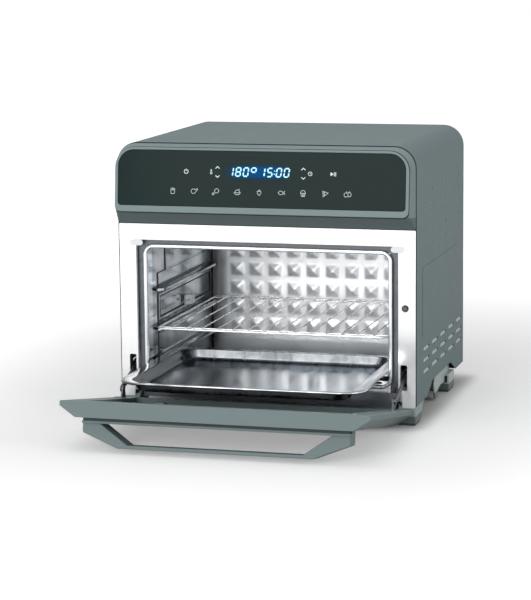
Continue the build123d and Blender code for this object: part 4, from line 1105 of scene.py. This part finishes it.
# ---- Control head ----------------------------------------------------------------------
# One moulded hood, painted like the cover and clipped to its front, with a slanted chin. A
# pane of black glass lies in it over the touch board.

head_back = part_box("control_bezel")[1].y
glass_lean = 0.1016
glass_across = Vector((1, 0, 0))
glass_up = Vector((0, sin(glass_lean), cos(glass_lean)))
glass_out = Vector((0, -cos(glass_lean), sin(glass_lean)))
head_points = [vert.co for vert in frame["nodes"]["control_bezel"].data.vertices]
head_front = max(p.dot(glass_out) for p in head_points)
head_foot = min(p.dot(glass_up) for p in head_points if p.dot(glass_out) > head_front - 0.0002)


def head_gap_shade(coat):
    """Painted shade: dark lines in the gaps round the face and against the cover, and the slanted
    chin painted darker where less light reaches it.
    """
    out, up = [
        coat.node(
            "ShaderNodeVectorMath",
            {"operation": "DOT_PRODUCT"},
            [coat.place(), way],
            out="Value",
        )
        for way in (glass_out, glass_up)
    ]
    # Painted shade: dark lines in the gaps round the face and against the cover, and a darker chin
    before = coat.between(out, head_front - 0.0034, head_front - 0.0026, 0.0, 1.0)
    after = coat.between(out, head_front - 0.001, head_front - 0.0006, 1.0, 0.0)
    joint_shade = coat.between(coat.along("Y"), head_back - 0.0024, head_back - 0.0012, 0.0, 1.0)
    chin = coat.between(up, head_foot - 0.0006, head_foot + 0.0004, 0.5, 0.0)
    return (before * after).maths("MAXIMUM", joint_shade).maths("MAXIMUM", chin)


head_paint = powder_coat("head_paint", (0.245, 0.31, 0.312), 1100, 0.45, shade_lines=head_gap_shade)
broken_edges("control_bezel", head_paint, 0.0004)

panel = Finish("black_glass")
panel_smear = panel.noise(6, 3)
panel_finish = panel.surface(
    Base_Color=panel.mixed(panel_smear, (0.015, 0.029, 0.028), (0.017, 0.032, 0.031)),
    Roughness=panel.between(panel_smear, 0.3, 0.7, 0.1, 0.16),
    Specular_IOR_Level=0.03,
)
broken_edges("panel_glass", panel_finish, 0.0005)

# ---- Symbols on the panel --------------------------------------------------------------
# Pale ink printed behind the glass, which glows a little when the panel is on. Each is
# drawn in the glass's own plane, in millimetres from the middle of its lower edge.

glass_points = [vert.co for vert in frame["nodes"]["panel_glass"].data.vertices]
glass_foot = glass_up * min(p.dot(glass_up) for p in glass_points)
glass_foot += glass_out * max(p.dot(glass_out) for p in glass_points)
glass_place = turned_to(glass_across, glass_up, glass_out, glass_foot)


def arc(x, y, radius, start=0, end=360, steps=16):
    """Points on an arc; the angles are in degrees, anticlockwise from the right."""
    return [
        (
            x + radius * cos(radians(start + (end - start) * i / steps)),
            y + radius * sin(radians(start + (end - start) * i / steps)),
        )
        for i in range(steps + 1)
    ]


def draw(shape, points, width, shift=(0, 0)):
    """Adds one line of even width through the points, with mitred bends."""
    path = [Vector(p) + Vector(shift) for p in points]
    closed = (path[0] - path[-1]).length < 1e-6
    if closed:
        path = path[:-1]
    count = len(path)
    sides = []
    for i, point in enumerate(path):
        before = path[i - 1] if i or closed else None
        after = path[(i + 1) % count] if i + 1 < count or closed else None
        ways = [
            (b - a).normalized() for a, b in ((before, point), (point, after)) if a and b
        ]
        way = sum(ways, Vector((0, 0))).normalized()
        across = Vector((-way.y, way.x))
        turn = max(0.5, across.dot(Vector((-ways[0].y, ways[0].x))))
        sides.append(
            [
                shape.verts.new((*(point + across * (hand * width / 2 / turn)), 0))
                for hand in (1, -1)
            ]
        )
    pairs = zip(sides, sides[1:] + sides[:1]) if closed else zip(sides, sides[1:])
    for (left, right), (next_left, next_right) in pairs:
        shape.faces.new((left, right, next_right, next_left))


def fill(shape, points, shift=(0, 0)):
    """Adds one solid outline."""
    shape.faces.new([shape.verts.new((x + shift[0], y + shift[1], 0)) for x, y in points])


def on_glass(name, shape, material, lift):
    """Turns a flat drawing in millimetres into a piece that lies just over the glass."""
    bmesh.ops.recalc_face_normals(shape, faces=shape.faces)
    for face in shape.faces:
        if face.normal.z < 0:
            face.normal_flip()
    mesh = bpy.data.meshes.new(name)
    shape.to_mesh(mesh)
    shape.free()
    mesh.transform(Matrix.Scale(0.001, 4))
    mesh.transform(Matrix.Translation((0, 0, lift)))
    mesh.transform(glass_place)
    mesh.materials.append(material)
    piece = in_scene(name, mesh)
    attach(piece, body_of["panel_glass"])


ink_width = 0.75
upper_row = 42.6
power_x = -93
thermometer_x = -61
arrows_x = (-53, 55)
arrows_rise = 5.3
clock_x = 63.5
start_x = 92
ink = bmesh.new()
# Power: a broken ring and a bar
draw(ink, arc(0, 0, 2.5, 120, 420), ink_width, (power_x, upper_row))
draw(ink, [(0, 0.3), (0, 3.2)], ink_width, (power_x, upper_row))
# Thermometer
thermometer_tube = [(-0.6, -0.7), (-0.6, 2.2), (0, 2.9), (0.6, 2.2), (0.6, -0.7)]
draw(ink, arc(0, -1.6, 1.1), 0.6, (thermometer_x, upper_row))
draw(ink, thermometer_tube, 0.5, (thermometer_x, upper_row))
# Up and down arrows each side of the display
for arrow_x in arrows_x:
    draw(ink, [(-2.6, -1.1), (0, 1.3), (2.6, -1.1)], 0.9, (arrow_x, upper_row + arrows_rise))
    draw(ink, [(-2.6, 1.1), (0, -1.3), (2.6, 1.1)], 0.9, (arrow_x, upper_row - arrows_rise))
# Clock
draw(ink, arc(0, 0, 2.3), 0.6, (clock_x, upper_row))
draw(ink, [(0, 1.4), (0, 0), (1.2, 0)], 0.5, (clock_x, upper_row))
# Start and pause
fill(ink, [(-3.2, -2.4), (0.4, 0), (-3.2, 2.4)], (start_x, upper_row))
fill(ink, [(1.0, -2.4), (1.8, -2.4), (1.8, 2.4), (1.0, 2.4)], (start_x, upper_row))
fill(ink, [(2.8, -2.4), (3.6, -2.4), (3.6, 2.4), (2.8, 2.4)], (start_x, upper_row))

# Nine dishes along the lower row
dish_pitch = 27.5
dish_row = 18.8
dish_scale = 1.12
dishes = [
    # Chips in a carton
    [
        [(-2.4, 0.8), (-1.7, -3.4), (1.7, -3.4), (2.4, 0.8), (-2.4, 0.8)],
        [(-1.6, 1.0), (-1.9, 3.0)],
        [(-0.4, 1.0), (-0.4, 3.6)],
        [(0.8, 1.0), (1.1, 3.2)],
        [(1.8, 1.0), (2.4, 2.6)],
    ],
    # Chop
    [
        arc(-0.8, -0.2, 2.5, 40, 330),
        [(1.1, 1.4), (3.2, 2.8), (4.0, 1.8), (2.2, -0.4), (1.4, -1.4)],
    ],
    # Drumstick
    [
        arc(1.2, 0.8, 2.3, -120, 200),
        [(-1.0, 0.0), (-3.0, -2.0)],
        [(0.0, -1.2), (-2.2, -2.9)],
        arc(-3.1, -2.8, 0.9, 60, 400),
    ],
    # Roast on a dish
    [
        arc(0, -0.6, 2.8, 0, 180),
        [(-4.0, -0.9), (4.0, -0.9)],
        [(-3.0, -1.6), (-1.8, -2.8), (1.8, -2.8), (3.0, -1.6)],
        [(1.0, 2.2), (2.6, 3.4)],
    ],
    # Pepper
    [
        [(-2.2, 0.8), (-1.8, -1.4), (0, -3.4), (1.8, -1.4), (2.2, 0.8), (0.8, 1.8), (0, 1.0)],
        [(-2.2, 0.8), (-0.8, 1.8), (0, 1.0), (0.2, 3.2)],
    ],
    # Fish
    [
        [(-3.2, 0), (-1.2, 2.0), (1.4, 1.6), (2.6, 0), (1.4, -1.6), (-1.2, -2.0), (-3.2, 0)],
        [(2.4, 0), (4.0, 1.8), (4.0, -1.8), (2.4, 0)],
    ],
    # Cup cake
    [
        arc(0, 0.6, 2.6, -10, 190),
        [(-3.0, 0.2), (3.0, 0.2)],
        [(-2.3, 0.0), (-1.7, -3.2), (1.7, -3.2), (2.3, 0.0)],
        [(-0.7, -0.2), (-0.5, -3.0)],
        [(0.8, -0.2), (0.6, -3.0)],
    ],
    # Slice of pizza
    [
        [(-2.6, 3.0), (3.4, 1.0), (-2.2, -3.2), (-2.6, 3.0)],
        arc(-1.0, 1.2, 0.6),
        arc(-0.8, -1.0, 0.6),
    ],
    # Two fruits
    [
        arc(-1.4, -0.6, 2.3),
        arc(1.9, -0.2, 2.3, -120, 130),
        [(-1.4, 1.6), (-0.8, 3.2)],
        [(1.9, 2.0), (2.6, 3.4)],
    ],
]
for number, lines in enumerate(dishes):
    for line in lines:
        larger = [(dish_scale * x, dish_scale * y) for x, y in line]
        draw(ink, larger, 0.45, ((number - 4) * dish_pitch, dish_row))

symbol_ink = Finish("symbol_ink")
symbol_grain = symbol_ink.noise(3000, 2)
symbol_finish = symbol_ink.surface(
    Base_Color=symbol_ink.mixed(symbol_grain, (0.62, 0.72, 0.74), (0.72, 0.8, 0.82)),
    Roughness=0.4,
    Emission_Color=(0.62, 0.74, 0.78),
    Emission_Strength=0.2,
)
on_glass("panel_symbols", ink, symbol_finish, lift=0.00006)

# ---- Display ---------------------------------------------------------------------------
# Slanted seven-bar figures glow ice blue behind the glass, lit by the display module under
# it, with a soft blue bloom round them.

bar_ends = {
    "a": ((0, 2), (1, 2)),
    "b": ((1, 2), (1, 1)),
    "c": ((1, 1), (1, 0)),
    "d": ((1, 0), (0, 0)),
    "e": ((0, 0), (0, 1)),
    "f": ((0, 1), (0, 2)),
    "g": ((0, 1), (1, 1)),
}
figure_bars = {"0": "abcdef", "1": "bc", "5": "acdfg", "8": "abcdefg", "o": "abfg"}
figure_width = 5.7
figure_height = 5.1
figure_slant = 0.16
figure_row = 38.1
bar_half = 0.84
bar_tip = 0.35
bar_shoulder = 0.95
shown = (
    (-39.9, "1"),
    (-30.3, "8"),
    (-20.7, "0"),
    (-11.1, "o"),
    (-0.1, "1"),
    (9.5, "5"),
    (20.9, "0"),
    (30.5, "0"),
)
dots_left = 18.1
dots_up = (3.2, 7.0)
dot_radius = 0.75


def figure_point(left, across, up):
    """Place of a point of a slanted figure, in millimetres from its lower left."""
    return Vector((left + across + up * figure_slant, figure_row + up))


figures = bmesh.new()
for left, figure in shown:
    for bar in figure_bars[figure]:
        start, end = [
            figure_point(left, x * figure_width, y * figure_height) for x, y in bar_ends[bar]
        ]
        along = (end - start).normalized()
        across = Vector((-along.y, along.x)) * bar_half
        inner_start = start + along * bar_shoulder
        inner_end = end - along * bar_shoulder
        outline = [
            start + along * bar_tip,
            inner_start + across,
            inner_end + across,
            end - along * bar_tip,
            inner_end - across,
            inner_start - across,
        ]
        fill(figures, outline)
for dot in dots_up:
    fill(figures, arc(*figure_point(dots_left, 0, dot), dot_radius)[:-1])
display_light = Finish("display_light")
light_ripple = display_light.noise(1500, 2)
display_finish = display_light.surface(
    Base_Color=(0.05, 0.1, 0.12),
    Roughness=0.5,
    Specular_IOR_Level=0.02,
    Emission_Color=display_light.mixed(light_ripple, (0.42, 0.86, 1.0), (0.6, 0.95, 1.0)),
    Emission_Strength=1.25,
)
on_glass("display_figures", figures, display_finish, lift=0.00008)

bloom_half = (47.0, 10.5)
bloom_centre = (-0.9, figure_row + figure_height)
bloom_reach = (0.046, 1.0, 0.0100)
bloom = bmesh.new()
bmesh.ops.create_grid(bloom, x_segments=24, y_segments=8, size=1.0)
for vert in bloom.verts:
    vert.co.x = vert.co.x * bloom_half[0] + bloom_centre[0]
    vert.co.y = vert.co.y * bloom_half[1] + bloom_centre[1]
blue_bloom = Finish("display_bloom")
bloom_middle = glass_place @ Vector((bloom_centre[0] / 1000, bloom_centre[1] / 1000, 0))
spread = blue_bloom.node(
    "ShaderNodeMapping",
    {"vector_type": "TEXTURE"},
    {
        "Vector": blue_bloom.node("ShaderNodeTexCoord", out="Object"),
        "Location": bloom_middle,
        "Scale": bloom_reach,
    },
)
sides = [
    blue_bloom.node("ShaderNodeSeparateXYZ", {}, {"Vector": spread}, out=axis) ** 4.0
    for axis in ("X", "Z")
]
strength = blue_bloom.between((sides[0] + sides[1]) ** 0.25, 0.45, 1.0, 0.85, 0.0)
bloom_finish = blue_bloom.surface(
    Base_Color=(0.0, 0.01, 0.03),
    Roughness=0.5,
    Specular_IOR_Level=0.02,
    Emission_Color=(0.006, 0.078, 0.235),
    Emission_Strength=1.0,
    Alpha=strength,
)
on_glass("display_bloom", bloom, bloom_finish, lift=0.00003)

# ---- Wire rack -------------------------------------------------------------------------
# A bent frame wire with rounded corners, two cross wires and straight rods welded on top,
# all bright plated.

wire = Finish("wire_steel")
wire_haze = wire.noise(120, 3)
wire_finish = wire.surface(
    Base_Color=wire.mixed(wire_haze, (0.95, 0.96, 0.97), (0.98, 0.98, 0.99)),
    Metallic=0.85,
    Roughness=wire.between(wire_haze, 0.3, 0.7, 0.24, 0.36),
)
frame_wire = 0.0013
shelf = Recipe(
    "shelf_wires",
    {
        "Half width": rack_high.x - frame_wire,
        "Front": rack_low.y + frame_wire,
        "Back": rack_high.y - frame_wire,
        "Level": rack_low.z + 0.0017,
        "Frame radius": frame_wire,
        "Corner": 0.012,
        "Corner steps": 8,
        "Cross radius": 0.0010,
        "Cross inset": 0.012,
        "Rod radius": 0.0009,
        "Rod lift": 0.00185,
        "Rods": 14,
        "Rod pitch": 0.020,
    },
)
half_width = shelf.size("Half width")
front = shelf.size("Front")
back = shelf.size("Back")
level = shelf.size("Level")
shelf_outline = shelf.node(
    "GeometryNodeCurvePrimitiveQuadrilateral",
    {},
    {"Width": half_width * 2.0, "Height": back - front},
)
shelf_loop = shelf.node(
    "GeometryNodeFilletCurve",
    {"mode": "POLY"},
    {"Curve": shelf_outline, "Count": shelf.size("Corner steps"), "Radius": shelf.size("Corner")},
)
shelf_parts = [
    shelf.moved(
        shelf.tube(shelf_loop, shelf.size("Frame radius")),
        shelf.point(0.0, (front + back) * 0.5, level),
    )
]
for cross_y in (front + shelf.size("Cross inset"), back - shelf.size("Cross inset")):
    cross_line = shelf.line(
        shelf.point(half_width * -1.0, cross_y, level), shelf.point(half_width, cross_y, level)
    )
    shelf_parts.append(shelf.tube(cross_line, shelf.size("Cross radius"), 10))
rod_level = level + shelf.size("Rod lift")
rod_line = shelf.line(shelf.point(0.0, front, rod_level), shelf.point(0.0, back, rod_level))
rod_points = shelf.node(
    "GeometryNodeMeshLine",
    {},
    {
        "Count": shelf.size("Rods"),
        "Start Location": shelf.point((shelf.size("Rods") - 1.0) * -0.5 * shelf.size("Rod pitch")),
        "Offset": shelf.point(shelf.size("Rod pitch")),
    },
)
shelf_parts.append(shelf.placed(rod_points, shelf.tube(rod_line, shelf.size("Rod radius"), 8)))
settle(shelf.piece(shelf_parts, wire_finish), "wire_rack")

# ---- Baking tray -----------------------------------------------------------------------
# Deep-drawn bright steel with sloping walls, a flat rim and a rolled edge. The profile is
# carried round the tray, from the middle of the floor over the edge to the underside.

tray_low, tray_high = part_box("baking_tray")
tray_middle = (tray_low.y + tray_high.y) / 2
tray_half = (tray_high.x, (tray_high.y - tray_low.y) / 2)
tray_rim = (0.0135, 0.0040)
tray_corners = (0.022, 0.027)
tray_roll = 0.0014
tray_sheet = 0.0009
tray_deep = tray_high.z - tray_low.z
tray_slope = 0.0064
tray_flat = 0.02
tray_foot = tray_slope - 0.0006


def bent(before, corner, after, part, steps=5):
    """Points that round a corner of a profile off, starting this part of each leg away."""
    before, corner, after = Vector(before), Vector(corner), Vector(after)
    start, end = corner.lerp(before, part[0]), corner.lerp(after, part[1])
    return [
        start.lerp(corner, i / steps).lerp(corner.lerp(end, i / steps), i / steps)
        for i in range(steps + 1)
    ]


def rounded(half_across, half_along, radius, reach=None, steps=8):
    """Points round a rectangle with round corners, whose arcs may reach less far."""
    arcs = [
        (right, back, pi / 2 * (quarter + i / steps))
        for quarter, (right, back) in enumerate(((1, 1), (-1, 1), (-1, -1), (1, -1)))
        for i in range(steps + 1)
    ]
    reach = radius if reach is None else reach
    return [
        (
            right * (half_across - radius) + reach * cos(turn),
            back * (half_along - radius) + reach * sin(turn),
        )
        for right, back, turn in arcs
    ]


def tray_loop(out, inset, z):
    """Rounded loop: out runs from 0 at the opening to 1 at the rolled edge's middle."""
    halves = [
        half - tray_roll - (1 - out) * rim - inset for half, rim in zip(tray_half, tray_rim)
    ]
    corner = tray_corners[0] + out * (tray_corners[1] - tray_corners[0]) - 0.6 * inset
    return [(x, tray_middle + y, tray_high.z + z) for x, y in rounded(*halves, corner)]


floor_in = (0, tray_flat, tray_sheet - tray_deep)
floor_edge = (0, tray_slope, tray_sheet - tray_deep)
mouth_edge = (0, 0, 0)
under_edge = (0.02, 0, -tray_sheet)
under_foot = (0, tray_foot, -tray_deep)
under_in = (0, tray_flat, -tray_deep)
profile = [Vector(floor_in)]
profile += bent(floor_in, floor_edge, mouth_edge, (0.26, 0.3))
profile += bent(floor_edge, mouth_edge, (1, 0, 0), (0.12, 0.1), 4)
for i in range(11):
    turn = pi / 2 - i / 10 * 1.4 * pi
    profile.append(Vector((1, -tray_roll * cos(turn), tray_roll * (sin(turn) - 1))))
profile += bent((0.9, 0, -tray_sheet), under_edge, under_foot, (0.1, 0.12), 3)
profile += bent(under_edge, under_foot, under_in, (0.3, 0.26))
profile.append(Vector(under_in))
tray_mesh = closed_loops("drawn_tray", [tray_loop(*place) for place in profile], sharp=50)

drawn_steel = Finish("tray_steel")
tray_streak = drawn_steel.between(drawn_steel.noise(42, 3, (1, 0.1, 1)), 0.35, 0.65, 0.0, 1.0)
# The tray's left end is painted dark: painted shade on that end of the steel
tray_side = drawn_steel.along("X") + (tray_half[0] - tray_rim[0] - 0.004)
tray_finish = drawn_steel.surface(
    Base_Color=drawn_steel.mixed(
        drawn_steel.between(tray_side, 0.0, 0.03, 0.0, 1.0),
        (0.1, 0.11, 0.12),
        drawn_steel.mixed(tray_streak, (0.36, 0.385, 0.41), (0.58, 0.61, 0.64)),
    ),
    Metallic=1.0,
    Roughness=drawn_steel.between(tray_streak, 0.3, 0.7, 0.09, 0.15),
    Normal=drawn_steel.bump(drawn_steel.noise(14, 2, (1, 0.3, 1)), 0.0001),
)
tray_mesh.materials.append(tray_finish)
settle(in_scene("drawn_tray", tray_mesh), "baking_tray")

# ---- Door, its panes and the handle ----------------------------------------------------
# A painted frame holds two panes of smoked glass. The handle, painted alike, is one bent bar on a
# thin base plate, screwed on from behind. A dark strip between the plate and the door is painted
# shade, for the shade in that gap.

door_paint = powder_coat("door_paint", (0.2, 0.25, 0.253), 1000, 0.45)
broken_edges("door_frame", door_paint, 0.0009)
broken_edges("handle", door_paint, 0.0005)

# Painted shade: a dark strip lies in the gap between the handle's plate and the door, where shade
# falls
gasket_rubber = Finish("gasket_rubber")
gap_shade_grain = gasket_rubber.noise(1200, 2)
gap_shade_finish = gasket_rubber.surface(
    Base_Color=gasket_rubber.mixed(gap_shade_grain, (0.035, 0.05, 0.05), (0.05, 0.066, 0.066)),
    Roughness=gasket_rubber.between(gap_shade_grain, 0.3, 0.7, 0.6, 0.75),
)
door_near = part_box("door_frame")[0].y
door_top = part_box("door_frame")[1].z
door_lean = radians(10.5)
door_thick = 0.019
handle_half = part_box("handle")[1].x
bar_corner = 0.003


def under_door(behind, under):
    """Place behind the open door's free edge and under its outer face, seen from the side."""
    return (
        door_near + behind * cos(door_lean) - under * sin(door_lean),
        door_top - (door_thick + under) * cos(door_lean) - behind * sin(door_lean),
    )


def cross_bar(name, material, half, behind, under, broken):
    """Flat bar across the door with rounded ends and broken edges. Its reach behind the
    free edge and under the outer face are pairs."""
    start, end = behind
    top, bottom = under
    loops = []
    for level, inset in (
        (top, 0.4),
        (top + 0.3 * broken, 0),
        (bottom - broken, 0),
        (bottom, 1),
    ):
        reach = bar_corner - inset * 0.5 * broken
        outline = rounded(half, (end - start) / 2, bar_corner, reach, steps=4)
        loops.append([(x, *under_door((start + end) / 2 + y, level)) for x, y in outline])
    mesh = closed_loops(name, loops, sharp=38)
    mesh.materials.append(material)
    bar = in_scene(name, mesh)
    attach(bar, body_of["handle"])
    return bar


handle_base = cross_bar(
    "handle_base",
    door_paint,
    half=handle_half + 0.001,
    behind=(0.0095, 0.025),
    under=(0.0037, 0.0066),
    broken=0.0007,
)
handle_gap_shade = cross_bar(
    "handle_gap_shade",
    gap_shade_finish,
    half=handle_half,
    behind=(0.0105, 0.024),
    under=(-0.0002, 0.0039),
    broken=0.0005,
)

pane = Finish("door_glass")
pane_smear = pane.noise(8, 3)
pane_finish = pane.surface(
    Base_Color=pane.mixed(pane_smear, (0.05, 0.058, 0.06), (0.065, 0.074, 0.076)),
    Roughness=pane.between(pane_smear, 0.3, 0.7, 0.02, 0.05),
    Transmission_Weight=0.95,
    IOR=1.5,
)
for pane_node in ("inner_pane", "outer_pane"):
    broken_edges(pane_node, pane_finish, 0.0004)

# ---- Bumpers ---------------------------------------------------------------------------
# Soft white silicone pads, moulded in one piece each and pressed into the frame's upper
# corners, where the door closes on them.

silicone = Finish("white_bumper")
silicone_grain = silicone.noise(900, 2)
silicone_finish = silicone.surface(
    Base_Color=silicone.mixed(silicone_grain, (0.93, 0.94, 0.94), (0.97, 0.98, 0.98)),
    Roughness=silicone.between(silicone_grain, 0.3, 0.7, 0.35, 0.5),
)
broken_edges("bumpers", silicone_finish, 0)
